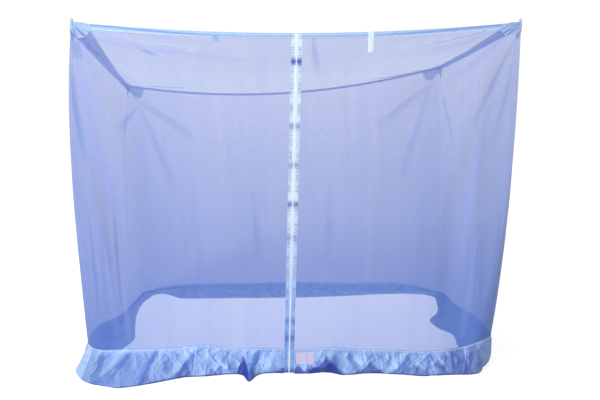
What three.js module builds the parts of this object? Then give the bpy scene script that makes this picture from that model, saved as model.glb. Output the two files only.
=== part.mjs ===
// A rectangular mosquito net canopy for a single bed, hung by the ties at its four top corners.
// Five hung net panels and a sagging net roof are sewn along taped edges, a long zip parts the front,
// and a crumpled satin skirt runs round the foot and lies on the surface below.
//
// Millimetres. +X runs along the front from left to right, +Y from the zip towards the back, +Z up.
// Every cloth is a thin closed solid: a grid of points on its middle surface, thickened both ways.
// Side panels are walked anticlockwise seen from above, so that "right of the way" is outside.

import * as THREE from "three";

// ---- Driving sizes ------------------------------------------------------------------------------

const NET_THICK = 1.2;
const SATIN_THICK = 1.2;
const TAPE_THICK = 1.0;
const POST_GAP = 1.15; // a net panel stops this far short of a corner or roof seam
const SEAM_GAP = 0.6; // net and skirt each stop this far short of the seam between them
const SIDE_GAP = 0.35; // pieces sewn edge to edge in one plane stop this far short of their seam
const LAYER_GAP = 0.45; // clear space between a sewn-on piece and the cloth under it

const TOP_SAG = { front: 47, right: 4, back: 100, left: 4 }; // dip of each top edge between corners
const ROOF_SAG = 22; // further dip of the roof between its front and back edges
const BAND_WIDTH = { front: 26, right: 32, back: 26, left: 39 }; // satin tape along the top edges
const SKIRT_WIDTH = 250; // nominal width of the satin band, across which its creases are placed
const FOOT_ROUND = 40; // inset of the rounded corners at the foot of the net
const FAN_REACH = 200; // how far from a corner the skirt still fans out towards it
const EDGE_FADE = 90; // folds fade out over this distance from a seam
const SEAM_FADE = 2; // how many times faster they fade at the foot seam
const CREASE_FADE = 50; // and the skirt's creases over this distance from a corner
const FOLD_ENDS = 0.35; // share of a fold's depth that is left at its two ends
const ARCH = 4; // makes u(1-u) reach 1 at its middle
const BULGE = 27 / 4; // makes t(1-t)^2 reach 1 at its highest

const ZIP_TOP_X = 8; // middle of the zip at the top edge and at the skirt seam
const ZIP_FOOT_X = -29;
const ZIP_HALF = 24;
const COIL_HALF = 2.2;
const COIL_THICK = 2.4;
const COIL_RAISE = 0.7; // the coil stands proud of its tapes, clear of the roof behind it

const LOOP = { ring: 5.6, cord: 1.5, ringSides: 16, cordSides: 6, inset: 1.6, lift: 1.05 };
const PATCH_CLEAR = 0.3; // a patch stands this much prouder than the other sewn-on pieces
const PATCH = { reach: 88, height: 72, taper: 0.45 };

// The four corner posts: where each top corner is tied, where its foot would be if it were square,
// how far the net swells outwards in X between the two, and how the skirt fans out there.
const CORNERS = {
  frontLeft: { top: [-992, -610, 1609], foot: [-1012, -612], swell: -24, power: 2, fan: [-0.05, -1.0] },
  frontRight: { top: [992, -610, 1607], foot: [940, -612], swell: 14, power: 1, fan: [0.71, -0.71] },
  backRight: { top: [850, 760, 1440], foot: [910, 770], swell: 14, power: 1, fan: [0.71, 0.71] },
  backLeft: { top: [-1065, 760, 1325], foot: [-1000, 800], swell: -10, power: 1, fan: [-0.71, 0.71] },
};

// The foot of each side, one row for each station along it (X for front and back, Y for the others).
// seam: height of the seam between net and skirt. out: how far outside the seam the skirt meets the
// surface. lay: how far it then runs back inwards. belly: how far it bulges between seam and surface.
const FRONT_FOOT = [
  { at: -1012, seam: 97, out: 165, lay: 14, belly: 6 },
  { at: -903, seam: 99, out: 200, lay: 14, belly: 8 },
  { at: -863, seam: 101, out: 214, lay: 14, belly: 10 },
  { at: -813, seam: 103, out: 228, lay: 14, belly: 12 },
  { at: -712, seam: 105, out: 194, lay: 30, belly: 14 },
  { at: -597, seam: 110, out: 134, lay: 60, belly: 20 },
  { at: -520, seam: 119, out: 96, lay: 95, belly: 18 },
  { at: -420, seam: 127, out: 83, lay: 105, belly: 14 },
  { at: -309, seam: 103, out: 56, lay: 115, belly: 24 },
  { at: -252, seam: 108, out: 72, lay: 110, belly: 8 },
  { at: -217, seam: 110, out: 148, lay: 60, belly: 2 },
  { at: -180, seam: 111, out: 66, lay: 110, belly: 10 },
  { at: -120, seam: 112, out: 40, lay: 125, belly: 28 },
  { at: -29, seam: 106, out: 42, lay: 130, belly: 18 },
  { at: 60, seam: 106, out: 44, lay: 125, belly: 16 },
  { at: 150, seam: 118, out: 26, lay: 130, belly: 38 },
  { at: 236, seam: 112, out: 60, lay: 120, belly: 12 },
  { at: 360, seam: 109, out: 34, lay: 125, belly: 30 },
  { at: 497, seam: 106, out: 48, lay: 125, belly: 14 },
  { at: 623, seam: 101, out: 66, lay: 115, belly: 10 },
  { at: 747, seam: 111, out: 50, lay: 110, belly: 18 },
  { at: 830, seam: 128, out: 46, lay: 95, belly: 14 },
  { at: 878, seam: 144, out: 34, lay: 100, belly: 12 },
  { at: 940, seam: 152, out: -14, lay: 80, belly: 6 },
];
const RIGHT_FOOT = [
  { at: -612, seam: 152, out: -14, lay: 80, belly: 6 },
  { at: -450, seam: 153, out: -6, lay: 92, belly: 10 },
  { at: -265, seam: 146, out: 10, lay: 112, belly: 20 },
  { at: -74, seam: 124, out: 12, lay: 106, belly: 14 },
  { at: 28, seam: 111, out: 20, lay: 165, belly: 18 },
  { at: 190, seam: 78, out: 14, lay: 184, belly: 10 },
  { at: 349, seam: 52, out: 16, lay: 118, belly: 10 },
  { at: 545, seam: 37, out: 12, lay: 80, belly: 6 },
  { at: 770, seam: 22, out: 10, lay: 62, belly: 3 },
];
const BACK_FOOT = [
  { at: 910, seam: 22, out: 10, lay: 62, belly: 3 },
  { at: 720, seam: 58, out: 10, lay: 42, belly: 3 },
  { at: 520, seam: 66, out: 12, lay: 60, belly: 3 },
  { at: 320, seam: 60, out: 14, lay: 104, belly: 3 },
  { at: 0, seam: 64, out: 12, lay: 150, belly: 3 },
  { at: -375, seam: 54, out: 16, lay: 180, belly: 4 },
  { at: -600, seam: 50, out: 12, lay: 190, belly: 3 },
  { at: -776, seam: 42, out: 10, lay: 190, belly: 2 },
  { at: -880, seam: 30, out: 10, lay: 118, belly: 2 },
  { at: -1000, seam: 14, out: 10, lay: 80, belly: 2 },
];
const LEFT_FOOT = [
  { at: 800, seam: 14, out: 10, lay: 80, belly: 2 },
  { at: 690, seam: 14, out: 12, lay: 70, belly: 2 },
  { at: 512, seam: 16, out: 14, lay: 52, belly: 3 },
  { at: 263, seam: 26, out: 12, lay: 70, belly: 5 },
  { at: -30, seam: 70, out: 16, lay: 130, belly: 10 },
  { at: -180, seam: 96, out: 14, lay: 158, belly: 12 },
  { at: -305, seam: 118, out: 20, lay: 150, belly: 14 },
  { at: -450, seam: 126, out: 4, lay: 90, belly: 12 },
  { at: -540, seam: 110, out: 26, lay: 36, belly: 6 },
  { at: -612, seam: 97, out: 165, lay: 14, belly: 6 },
];

// Main folds of the hung net, one row each: a soft ridge (depth > 0, outwards) or trough from one
// point to another. along: distance from the side's first corner, up: height above the foot seam.
const FRONT_FOLDS = [
  { along: 90, up: 1360, toAlong: 330, toUp: 620, width: 34, toWidth: 80, depth: 16 },
  { along: 150, up: 1400, toAlong: 560, toUp: 900, width: 34, toWidth: 90, depth: -13 },
  { along: 70, up: 1200, toAlong: 110, toUp: 260, width: 34, toWidth: 46, depth: 14 },
  { along: 160, up: 900, toAlong: 210, toUp: 60, width: 40, toWidth: 60, depth: -12 },
  { along: 1890, up: 1350, toAlong: 1660, toUp: 640, width: 34, toWidth: 80, depth: 15 },
  { along: 1830, up: 1400, toAlong: 1420, toUp: 930, width: 36, toWidth: 90, depth: -12 },
  { along: 1860, up: 1100, toAlong: 1800, toUp: 200, width: 40, toWidth: 60, depth: 14 },
  { along: 1740, up: 700, toAlong: 1690, toUp: 60, width: 44, toWidth: 66, depth: -12 },
];
const RIGHT_FOLDS = [
  { along: 120, up: 1330, toAlong: 260, toUp: 120, width: 40, toWidth: 60, depth: 20 },
  { along: 280, up: 1180, toAlong: 430, toUp: 60, width: 46, toWidth: 60, depth: -18 },
  { along: 560, up: 1000, toAlong: 640, toUp: 40, width: 60, toWidth: 70, depth: 16 },
  { along: 860, up: 980, toAlong: 800, toUp: 40, width: 60, toWidth: 70, depth: -16 },
  { along: 1210, up: 1180, toAlong: 1060, toUp: 120, width: 46, toWidth: 70, depth: 20 },
];
const BACK_FOLDS = [
  { along: 130, up: 1180, toAlong: 420, toUp: 260, width: 40, toWidth: 90, depth: 18 },
  { along: 520, up: 900, toAlong: 600, toUp: 60, width: 70, toWidth: 80, depth: -16 },
  { along: 980, up: 820, toAlong: 930, toUp: 60, width: 80, toWidth: 90, depth: 14 },
  { along: 1760, up: 1080, toAlong: 1480, toUp: 240, width: 40, toWidth: 90, depth: 18 },
  { along: 200, up: 110, toAlong: 1000, toUp: 90, width: 70, toWidth: 80, depth: 30 },
  { along: 1000, up: 90, toAlong: 1760, toUp: 120, width: 80, toWidth: 80, depth: 34 },
];
const LEFT_FOLDS = [
  { along: 130, up: 1120, toAlong: 300, toUp: 120, width: 40, toWidth: 70, depth: 20 },
  { along: 520, up: 1080, toAlong: 540, toUp: 60, width: 60, toWidth: 70, depth: -16 },
  { along: 800, up: 1020, toAlong: 840, toUp: 60, width: 56, toWidth: 60, depth: 18 },
  { along: 1090, up: 1200, toAlong: 1040, toUp: 60, width: 46, toWidth: 56, depth: -18 },
  { along: 1270, up: 1340, toAlong: 1230, toUp: 120, width: 40, toWidth: 50, depth: 18 },
];
// The roof's folds run out of its tied corners. along: from its left edge, up: from its front edge.
const ROOF_FOLDS = [
  { along: 120, up: 90, toAlong: 760, toUp: 520, width: 34, toWidth: 110, depth: -18 },
  { along: 100, up: 160, toAlong: 420, toUp: 900, width: 34, toWidth: 110, depth: 16 },
  { along: 1850, up: 90, toAlong: 1180, toUp: 480, width: 34, toWidth: 110, depth: -18 },
  { along: 1880, up: 170, toAlong: 1560, toUp: 900, width: 34, toWidth: 110, depth: 16 },
  { along: 130, up: 1250, toAlong: 640, toUp: 960, width: 36, toWidth: 100, depth: -16 },
  { along: 1830, up: 1250, toAlong: 1330, toUp: 960, width: 36, toWidth: 100, depth: -16 },
];

// Main creases of the skirt. along: as above, up: distance across the cloth from its inner edge.
const FRONT_CREASES = [
  { along: 70, up: 130, toAlong: 190, toUp: 230, width: 16, toWidth: 22, depth: 9 },
  { along: 300, up: 120, toAlong: 340, toUp: 232, width: 16, toWidth: 20, depth: -9 },
  { along: 420, up: 130, toAlong: 520, toUp: 228, width: 18, toWidth: 20, depth: 10 },
  { along: 640, up: 220, toAlong: 720, toUp: 130, width: 18, toWidth: 22, depth: 12 },
  { along: 800, up: 130, toAlong: 860, toUp: 226, width: 18, toWidth: 20, depth: -10 },
  { along: 1120, up: 130, toAlong: 1210, toUp: 224, width: 18, toWidth: 22, depth: 11 },
  { along: 1280, up: 226, toAlong: 1350, toUp: 130, width: 18, toWidth: 22, depth: -10 },
  { along: 1470, up: 130, toAlong: 1560, toUp: 222, width: 18, toWidth: 20, depth: 10 },
  { along: 1680, up: 226, toAlong: 1760, toUp: 130, width: 18, toWidth: 22, depth: -9 },
];
const RIGHT_CREASES = [
  { along: 260, up: 20, toAlong: 330, toUp: 225, width: 20, toWidth: 24, depth: 10 },
  { along: 560, up: 10, toAlong: 520, toUp: 220, width: 20, toWidth: 24, depth: 12 },
  { along: 800, up: 20, toAlong: 860, toUp: 200, width: 22, toWidth: 24, depth: 9 },
  { along: 1100, up: 15, toAlong: 1060, toUp: 200, width: 22, toWidth: 24, depth: 9 },
];
const BACK_CREASES = [
  { along: 260, up: 15, toAlong: 330, toUp: 110, width: 20, toWidth: 24, depth: 9 },
  { along: 620, up: 15, toAlong: 560, toUp: 110, width: 22, toWidth: 26, depth: 10 },
  { along: 980, up: 10, toAlong: 1060, toUp: 110, width: 22, toWidth: 28, depth: 11 },
  { along: 1330, up: 10, toAlong: 1270, toUp: 115, width: 22, toWidth: 28, depth: 10 },
  { along: 1640, up: 10, toAlong: 1700, toUp: 110, width: 22, toWidth: 28, depth: 12 },
];
const LEFT_CREASES = [
  { along: 330, up: 15, toAlong: 300, toUp: 110, width: 20, toWidth: 24, depth: 9 },
  { along: 640, up: 20, toAlong: 700, toUp: 190, width: 22, toWidth: 26, depth: 9 },
  { along: 930, up: 10, toAlong: 980, toUp: 215, width: 20, toWidth: 26, depth: 11 },
  { along: 1150, up: 20, toAlong: 1110, toUp: 225, width: 20, toWidth: 24, depth: 10 },
];

// A side runs between two corners; axis says which of X and Y its foot stations are measured along.
const sideOf = (from, to, axis, foot, folds, creases) => ({ from, to, axis, foot, folds, creases });
const SIDES = {
  front: sideOf("frontLeft", "frontRight", 0, FRONT_FOOT, FRONT_FOLDS, FRONT_CREASES),
  right: sideOf("frontRight", "backRight", 1, RIGHT_FOOT, RIGHT_FOLDS, RIGHT_CREASES),
  back: sideOf("backRight", "backLeft", 0, BACK_FOOT, BACK_FOLDS, BACK_CREASES),
  left: sideOf("backLeft", "frontLeft", 1, LEFT_FOOT, LEFT_FOLDS, LEFT_CREASES),
};

// Small pieces sewn to the front, placed by X and by their distance below the top edge.
const HANG_TAPE = { from: 322, to: 348, length: 90 };
const BLUE_TAB = { from: -364, to: -338, below: 18, length: 24 };
// The label covers cells of the skirt's own grid just right of the zip, pulled in at its two ends.
const LABEL = { columns: [0, 3], rows: [6, 9], ends: { left: 6, right: 9 } };

const COLOURS = {
  net: 0x8f9fdc,
  roof: 0xa9b6ea,
  satin: 0x93b1e1,
  band: 0x9dbfec,
  zip: 0xc3d6f5,
  coil: 0xeef4fd,
  tape: 0xdeeffa,
  tab: 0x9db5de,
  label: 0xd8d4ea,
  cord: 0x8a7fae,
};

// ---- Small helpers ------------------------------------------------------------------------------

const lerp = (a, b, t) => a + (b - a) * t;
const clamp01 = (t) => Math.min(1, Math.max(0, t));
const smooth = (t) => clamp01(t) ** 2 * (3 - 2 * clamp01(t));
const steps = (count, from = 0, to = 1) =>
  Array.from({ length: count + 1 }, (_, i) => lerp(from, to, i / count));

// One column of a table at a station, through its rows on a smooth curve.
function column(rows, name, at) {
  const down = rows[0].at > rows[rows.length - 1].at;
  const list = down ? [...rows].reverse() : rows;
  let i = 0;
  while (i < list.length - 2 && at > list[i + 1].at) i += 1;
  const [a, b] = [list[i], list[i + 1]];
  const slope = (k) => {
    const [p, n] = [list[Math.max(0, k - 1)], list[Math.min(list.length - 1, k + 1)]];
    return (n[name] - p[name]) / (n.at - p.at);
  };
  const span = b.at - a.at;
  const t = clamp01((at - a.at) / span);
  const [t2, t3] = [t * t, t * t * t];
  return (
    (2 * t3 - 3 * t2 + 1) * a[name] +
    (t3 - 2 * t2 + t) * slope(i) * span +
    (3 * t2 - 2 * t3) * b[name] +
    (t3 - t2) * slope(i + 1) * span
  );
}

// Height of a set of soft ridges at one point: each runs between two points and fades at its ends.
function relief(rows, along, up) {
  let height = 0;
  for (const row of rows) {
    const [dx, dy] = [row.toAlong - row.along, row.toUp - row.up];
    const t = clamp01(((along - row.along) * dx + (up - row.up) * dy) / (dx * dx + dy * dy));
    const off = Math.hypot(along - row.along - dx * t, up - row.up - dy * t);
    const width = lerp(row.width, row.toWidth, t);
    height += row.depth * Math.exp(-((off / width) ** 2)) * lerp(FOLD_ENDS, 1, Math.sin(Math.PI * t));
  }
  return height;
}

// ---- The hung net -------------------------------------------------------------------------------

// A corner post at height share v: straight from foot to tie, swelling outwards between.
function post(name, v) {
  const { top, foot, swell, power: p } = CORNERS[name];
  const peak = (p / (p + 1)) ** p / (p + 1);
  const out = (swell * v ** p * (1 - v)) / peak;
  return new THREE.Vector2(lerp(foot[0], top[0], v) + out, lerp(foot[1], top[1], v));
}

// The plan line of a side at height share v: its ends, its direction, and the way out of the net.
function planLine(side, v) {
  const [a, b] = [post(side.from, v), post(side.to, v)];
  const length = a.distanceTo(b);
  const along = b.clone().sub(a).divideScalar(length);
  return { a, length, along, outward: new THREE.Vector2(along.y, -along.x) };
}

const footStation = (side, u) => {
  const [a, b] = [CORNERS[side.from].foot[side.axis], CORNERS[side.to].foot[side.axis]];
  return lerp(a, b, u);
};

function topHeight(side, u) {
  const [a, b] = [CORNERS[side.from].top[2], CORNERS[side.to].top[2]];
  return lerp(a, b, u) - side.sag * ARCH * u * (1 - u);
}

// The net's corner is sharp where it is tied and rounded off towards the foot.
const roundAt = (v) => FOOT_ROUND * (1 - v) ** 3;
const sideBefore = (name) => Object.values(SIDES).find((side) => side.to === name);
const sideAfter = (name) => Object.values(SIDES).find((side) => side.from === name);

function cornerPoint(name, v) {
  const point = post(name, v);
  for (const side of [sideBefore(name), sideAfter(name)]) {
    point.addScaledVector(planLine(side, v).outward, -roundAt(v));
  }
  return point;
}

// A point of a side's net: u along it, v from the skirt seam (0) to the top edge (1).
function netPoint(side, u, v) {
  const [a, b] = [cornerPoint(side.from, v), cornerPoint(side.to, v)];
  const length = a.distanceTo(b);
  const round = roundAt(v);
  const ease = (d) => (d < 2 * round ? round * (1 - d / (2 * round)) ** 2 : 0);
  const inset = ease(u * length) + ease((1 - u) * length) - round;
  const seam = column(side.foot, "seam", footStation(side, u));
  const height = topHeight(side, u) - seam;
  const edge = Math.min(u * length, (1 - u) * length, v * height * SEAM_FADE, (1 - v) * height);
  const fold = relief(side.folds, u * length, v * height) * smooth(edge / EDGE_FADE);
  const { outward } = planLine(side, v);
  const plan = a.lerp(b, u).addScaledVector(outward, fold - inset);
  return new THREE.Vector3(plan.x, plan.y, lerp(seam, topHeight(side, u), v));
}

// The roof: ruled between the front and back top edges, sagging between, u along X and v along Y.
function roofPoint(u, v) {
  const front = netPoint(SIDES.front, u, 1);
  const back = netPoint(SIDES.back, 1 - u, 1);
  const point = front.lerp(back, v);
  const width = CORNERS.frontRight.top[0] - CORNERS.frontLeft.top[0];
  const depth = CORNERS.backLeft.top[1] - CORNERS.frontLeft.top[1];
  const edge = Math.min(u * width, (1 - u) * width, v * depth, (1 - v) * depth);
  const fold = relief(ROOF_FOLDS, u * width, v * depth) * smooth(edge / EDGE_FADE);
  point.z += fold - ROOF_SAG * ARCH * u * (1 - u) * ARCH * v * (1 - v);
  return point;
}

// Share of the front's length at the zip's middle, moved by some millimetres along X.
function zipShare(v, shift = 0) {
  const [a, b] = [cornerPoint("frontLeft", v), cornerPoint("frontRight", v)];
  return (lerp(ZIP_FOOT_X, ZIP_TOP_X, v) + shift - a.x) / (b.x - a.x);
}

// ---- The skirt ----------------------------------------------------------------------------------

const LAY_END = 0.4; // shares of the skirt's width: lying on the surface, then its bend, then the rise
const BEND_END = 0.52;
const BEND_MOST = 8; // radius of the bend, or this share of the seam's height or of what lies
const BEND_SHARE = 0.4;

// The seam between net and skirt is straight between the net panels' own columns.
function seamPoint(side, u) {
  let i = 0;
  while (i < side.stations.length - 2 && u > side.stations[i + 1]) i += 1;
  const [a, b] = [side.stations[i], side.stations[i + 1]];
  return netPoint(side, a, 0).lerp(netPoint(side, b, 0), (u - a) / (b - a));
}

// The way the skirt spreads: straight out along a side, turning to the corner's own way at its ends.
function spread(side, u) {
  const { length, outward } = planLine(side, 0);
  const turn = (d) => Math.max(0, 1 - d / FAN_REACH) ** 2;
  const way = outward.clone();
  way.lerp(new THREE.Vector2(...CORNERS[side.from].fan), turn(u * length));
  way.lerp(new THREE.Vector2(...CORNERS[side.to].fan), turn((1 - u) * length));
  return way.normalize();
}

// A point of the skirt: u along the side, w from its inner edge (0) over the foot to the seam (1).
function skirtPoint(side, u, w) {
  const seam = seamPoint(side, u);
  const at = footStation(side, u);
  const [out, lay, belly] = ["out", "lay", "belly"].map((name) => column(side.foot, name, at));
  const lying = SATIN_THICK / 2;
  const bend = Math.min(BEND_MOST, BEND_SHARE * seam.z, BEND_SHARE * lay);
  const { length } = planLine(side, 0);
  const fade = smooth((Math.min(u, 1 - u) * length) / CREASE_FADE);
  const crumple = relief(side.creases, u * length, w * SKIRT_WIDTH) * fade;
  let reach;
  let z;
  if (w <= LAY_END) {
    reach = out - lerp(lay, bend, w / LAY_END);
    z = lying + Math.max(0, crumple * side.humps * Math.sin(Math.PI * (w / LAY_END)));
  } else if (w <= BEND_END) {
    const angle = ((w - LAY_END) / (BEND_END - LAY_END)) * (Math.PI / 2);
    reach = out - bend * (1 - Math.sin(angle));
    z = lying + bend * (1 - Math.cos(angle));
  } else {
    const t = (w - BEND_END) / (1 - BEND_END);
    reach = out * (1 - t) ** 2 + (belly + crumple) * BULGE * t * (1 - t) ** 2;
    z = lerp(lying + bend, seam.z, t);
  }
  const way = spread(side, u);
  return new THREE.Vector3(seam.x + way.x * reach, seam.y + way.y * reach, z);
}

// ---- Thin solids --------------------------------------------------------------------------------

const gridOf = (us, vs, at) => us.map((u) => vs.map((v) => at(u, v)));

// Moves the edge points of a grid inwards along its own lines, to leave a gap at a seam.
function trim(grid, { left = 0, right = 0, bottom = 0, top = 0 }) {
  const [n, m] = [grid.length, grid[0].length];
  const pull = (p, q, d) => p.add(q.clone().sub(p).setLength(d));
  for (let j = 0; j < m; j += 1) {
    if (left) pull(grid[0][j], grid[1][j], left);
    if (right) pull(grid[n - 1][j], grid[n - 2][j], right);
  }
  for (let i = 0; i < n; i += 1) {
    if (bottom) pull(grid[i][0], grid[i][1], bottom);
    if (top) pull(grid[i][m - 1], grid[i][m - 2], top);
  }
  return grid;
}

// The outward normal at each grid point, from the grid lines that cross there.
function normalsOf(grid) {
  const [n, m] = [grid.length, grid[0].length];
  const at = (i, j) => grid[Math.min(n - 1, Math.max(0, i))][Math.min(m - 1, Math.max(0, j))];
  return grid.map((row, i) =>
    row.map((_, j) => {
      const across = at(i + 1, j).clone().sub(at(i - 1, j));
      const upward = at(i, j + 1).clone().sub(at(i, j - 1));
      return across.cross(upward).normalize();
    }),
  );
}

// The grid moved along its normals, for a piece sewn on the outside of another.
function raised(grid, distance) {
  const normals = normalsOf(grid);
  return grid.map((row, i) => row.map((p, j) => p.clone().addScaledVector(normals[i][j], distance)));
}

// A closed solid of one thickness about a grid of points on its middle surface.
function sheetGeometry(grid, thickness) {
  const [n, m] = [grid.length, grid[0].length];
  const [outer, inner] = [raised(grid, thickness / 2), raised(grid, -thickness / 2)];
  const positions = [...outer.flat(), ...inner.flat()].flatMap((p) => [p.x, p.y, p.z]);
  const o = (i, j) => i * m + j;
  const k = (i, j) => n * m + i * m + j;
  const index = [];
  const quad = (a, b, c, d) => index.push(a, b, c, a, c, d);
  for (let i = 0; i < n - 1; i += 1) {
    for (let j = 0; j < m - 1; j += 1) {
      quad(o(i, j), o(i + 1, j), o(i + 1, j + 1), o(i, j + 1));
      // The inner face is split along the same diagonal as the outer one.
      index.push(k(i, j), k(i + 1, j + 1), k(i + 1, j));
      index.push(k(i, j), k(i, j + 1), k(i + 1, j + 1));
    }
    quad(o(i, 0), k(i, 0), k(i + 1, 0), o(i + 1, 0));
    quad(o(i + 1, m - 1), k(i + 1, m - 1), k(i, m - 1), o(i, m - 1));
  }
  for (let j = 0; j < m - 1; j += 1) {
    quad(o(0, j + 1), k(0, j + 1), k(0, j), o(0, j));
    quad(o(n - 1, j), k(n - 1, j), k(n - 1, j + 1), o(n - 1, j + 1));
  }
  const geometry = new THREE.BufferGeometry();
  geometry.setAttribute("position", new THREE.Float32BufferAttribute(positions, 3));
  geometry.setIndex(index);
  geometry.computeVertexNormals();
  return geometry;
}

const canopy = new THREE.Group();

function add(name, geometry, colour, roughness = 0.8) {
  const material = new THREE.MeshStandardMaterial({ color: colour, roughness, metalness: 0 });
  const mesh = new THREE.Mesh(geometry, material);
  mesh.name = name;
  canopy.add(mesh);
  return mesh;
}

// ---- Net panels, roof and taped edges -----------------------------------------------------------

const HALF_COLUMNS = [0, 0.03, 0.075, 0.13, 0.2, 0.28, 0.36, 0.44, 0.52, 0.6, 0.68, 0.76, 0.84, 0.92, 1];
const SIDE_COLUMNS = [
  ...[0, 0.03, 0.07],
  ...steps(3, 0.13, 0.34),
  ...steps(2, 0.42, 0.58),
  ...steps(3, 0.66, 0.87),
  ...[0.93, 0.97, 1],
];
const BACK_COLUMNS = [0, 0.02, 0.05, ...steps(14, 0.1, 0.9), 0.95, 0.98, 1];
const NET_ROWS = [0, 0.035, 0.08, 0.13, 0.2, 0.28, 0.37, 0.46, 0.55, 0.64, 0.73, 0.81, 0.88, 0.94];

for (const [name, side] of Object.entries(SIDES)) {
  side.sag = TOP_SAG[name];
  side.humps = name === "front" ? 0 : 1; // the front skirt's lying part is out of sight and stays flat
}
const bandShare = (name) => 1 - BAND_WIDTH[name] / topHeight(SIDES[name], 0.5);
const rowsOf = (name) => [...NET_ROWS, bandShare(name), 1];

// The front is parted by the zip: its left half runs up to the zip's edge, its right half from it.
const leftHalf = (a, v) => a * zipShare(v, -ZIP_HALF);
const rightHalf = (a, v) => lerp(zipShare(v, ZIP_HALF), 1, a);
const mirrored = [...HALF_COLUMNS].reverse().map((a) => 1 - a);
SIDES.front.stations = [
  ...HALF_COLUMNS.map((a) => leftHalf(a, 0)),
  ...mirrored.map((a) => rightHalf(a, 0)),
];
SIDES.right.stations = SIDE_COLUMNS;
SIDES.back.stations = BACK_COLUMNS;
SIDES.left.stations = SIDE_COLUMNS;

const whole = (a) => a;
const ends = (left, right) => ({ left, right });
const [LEFT_ENDS, RIGHT_ENDS] = [ends(POST_GAP, SIDE_GAP), ends(SIDE_GAP, POST_GAP)];
const WHOLE_ENDS = ends(POST_GAP, POST_GAP);
const PANELS = [
  { name: "front_left", side: "front", columns: HALF_COLUMNS, share: leftHalf, gaps: LEFT_ENDS },
  { name: "front_right", side: "front", columns: mirrored, share: rightHalf, gaps: RIGHT_ENDS },
  { name: "right", side: "right", columns: SIDE_COLUMNS, share: whole, gaps: WHOLE_ENDS },
  { name: "back", side: "back", columns: BACK_COLUMNS, share: whole, gaps: WHOLE_ENDS },
  { name: "left", side: "left", columns: SIDE_COLUMNS, share: whole, gaps: WHOLE_ENDS },
];
const BAND_RAISE = NET_THICK / 2 + LAYER_GAP + TAPE_THICK / 2;

function panelGrid(panel, rows) {
  const side = SIDES[panel.side];
  return gridOf(panel.columns, rows, (a, v) => netPoint(side, panel.share(a, v), v));
}

for (const panel of PANELS) {
  const net = trim(panelGrid(panel, rowsOf(panel.side)), { ...panel.gaps, bottom: SEAM_GAP, top: POST_GAP });
  add(`net_${panel.name}`, sheetGeometry(net, NET_THICK), COLOURS.net);
  const band = trim(panelGrid(panel, [bandShare(panel.side), 1]), panel.gaps);
  add(`band_${panel.name}`, sheetGeometry(raised(band, BAND_RAISE), TAPE_THICK), COLOURS.band, 0.6);
}

const ROOF_COLUMNS = [0, 0.025, 0.06, 0.11, ...steps(10, 0.18, 0.82), 0.89, 0.94, 0.975, 1];
const ROOF_ROWS = [0, 0.035, 0.09, 0.16, ...steps(6, 0.25, 0.75), 0.84, 0.91, 0.965, 1];
const roof = trim(gridOf(ROOF_COLUMNS, ROOF_ROWS, roofPoint), {
  left: POST_GAP,
  right: POST_GAP,
  bottom: POST_GAP,
  top: POST_GAP,
});
add("net_roof", sheetGeometry(roof, NET_THICK), COLOURS.roof);

// ---- Skirt --------------------------------------------------------------------------------------

const LYING_ROWS = [0, 0.14, 0.27, LAY_END];
const RISING_ROWS = [0.46, BEND_END, 0.6, 0.69, 0.78, 0.87, 0.95, 1];
const LOW_RISING_ROWS = [0.46, BEND_END, 0.7, 0.9, 1]; // the back, whose seam lies almost on the surface
const FLAT_LYING_ROWS = [0, 0.32, LAY_END];
const WIDEST_COLUMN = 0.045; // of a panel's length, past which the skirt parts the net's columns

// The net's own columns, with each wide one parted into equal narrower ones.
const refined = (columns) =>
  columns.flatMap((a, i) => {
    if (!i) return [a];
    const before = columns[i - 1];
    const parts = Math.ceil((a - before) / WIDEST_COLUMN - 0.01);
    return steps(parts, before, a).slice(1);
  });

const skirtGrids = {};
for (const panel of PANELS) {
  const side = SIDES[panel.side];
  const lying = side.humps ? LYING_ROWS : FLAT_LYING_ROWS;
  const rows = [...lying, ...(panel.side === "back" ? LOW_RISING_ROWS : RISING_ROWS)];
  const grid = gridOf(refined(panel.columns), rows, (a, w) => skirtPoint(side, panel.share(a, 0), w));
  skirtGrids[panel.name] = trim(grid, { left: SEAM_GAP, right: SEAM_GAP, top: SEAM_GAP });
  add(`skirt_${panel.name}`, sheetGeometry(grid, SATIN_THICK), COLOURS.satin, 0.45);
}

// ---- Zip ----------------------------------------------------------------------------------------

// A strip of the front between two distances from the zip's middle, from the skirt's foot to the top.
function zipStrip(from, to) {
  const rising = RISING_ROWS.filter((w) => w > BEND_END && w < 1);
  const strip = [from, to].map((shift) => [
    ...rising.map((w) => skirtPoint(SIDES.front, zipShare(0, shift), w)),
    ...rowsOf("front").map((v) => netPoint(SIDES.front, zipShare(v, shift), v)),
  ]);
  return trim(strip, { top: SIDE_GAP });
}
const coil = raised(zipStrip(-COIL_HALF, COIL_HALF), COIL_RAISE);
const tapeInner = COIL_HALF + SIDE_GAP;
const tapeOuter = ZIP_HALF - SIDE_GAP;
add("zip_tape_left", sheetGeometry(zipStrip(-tapeOuter, -tapeInner), TAPE_THICK), COLOURS.zip);
add("zip_tape_right", sheetGeometry(zipStrip(tapeInner, tapeOuter), TAPE_THICK), COLOURS.zip);
add("zip_coil", sheetGeometry(coil, COIL_THICK), COLOURS.coil, 0.5);

// ---- Small sewn-on pieces -----------------------------------------------------------------------

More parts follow.
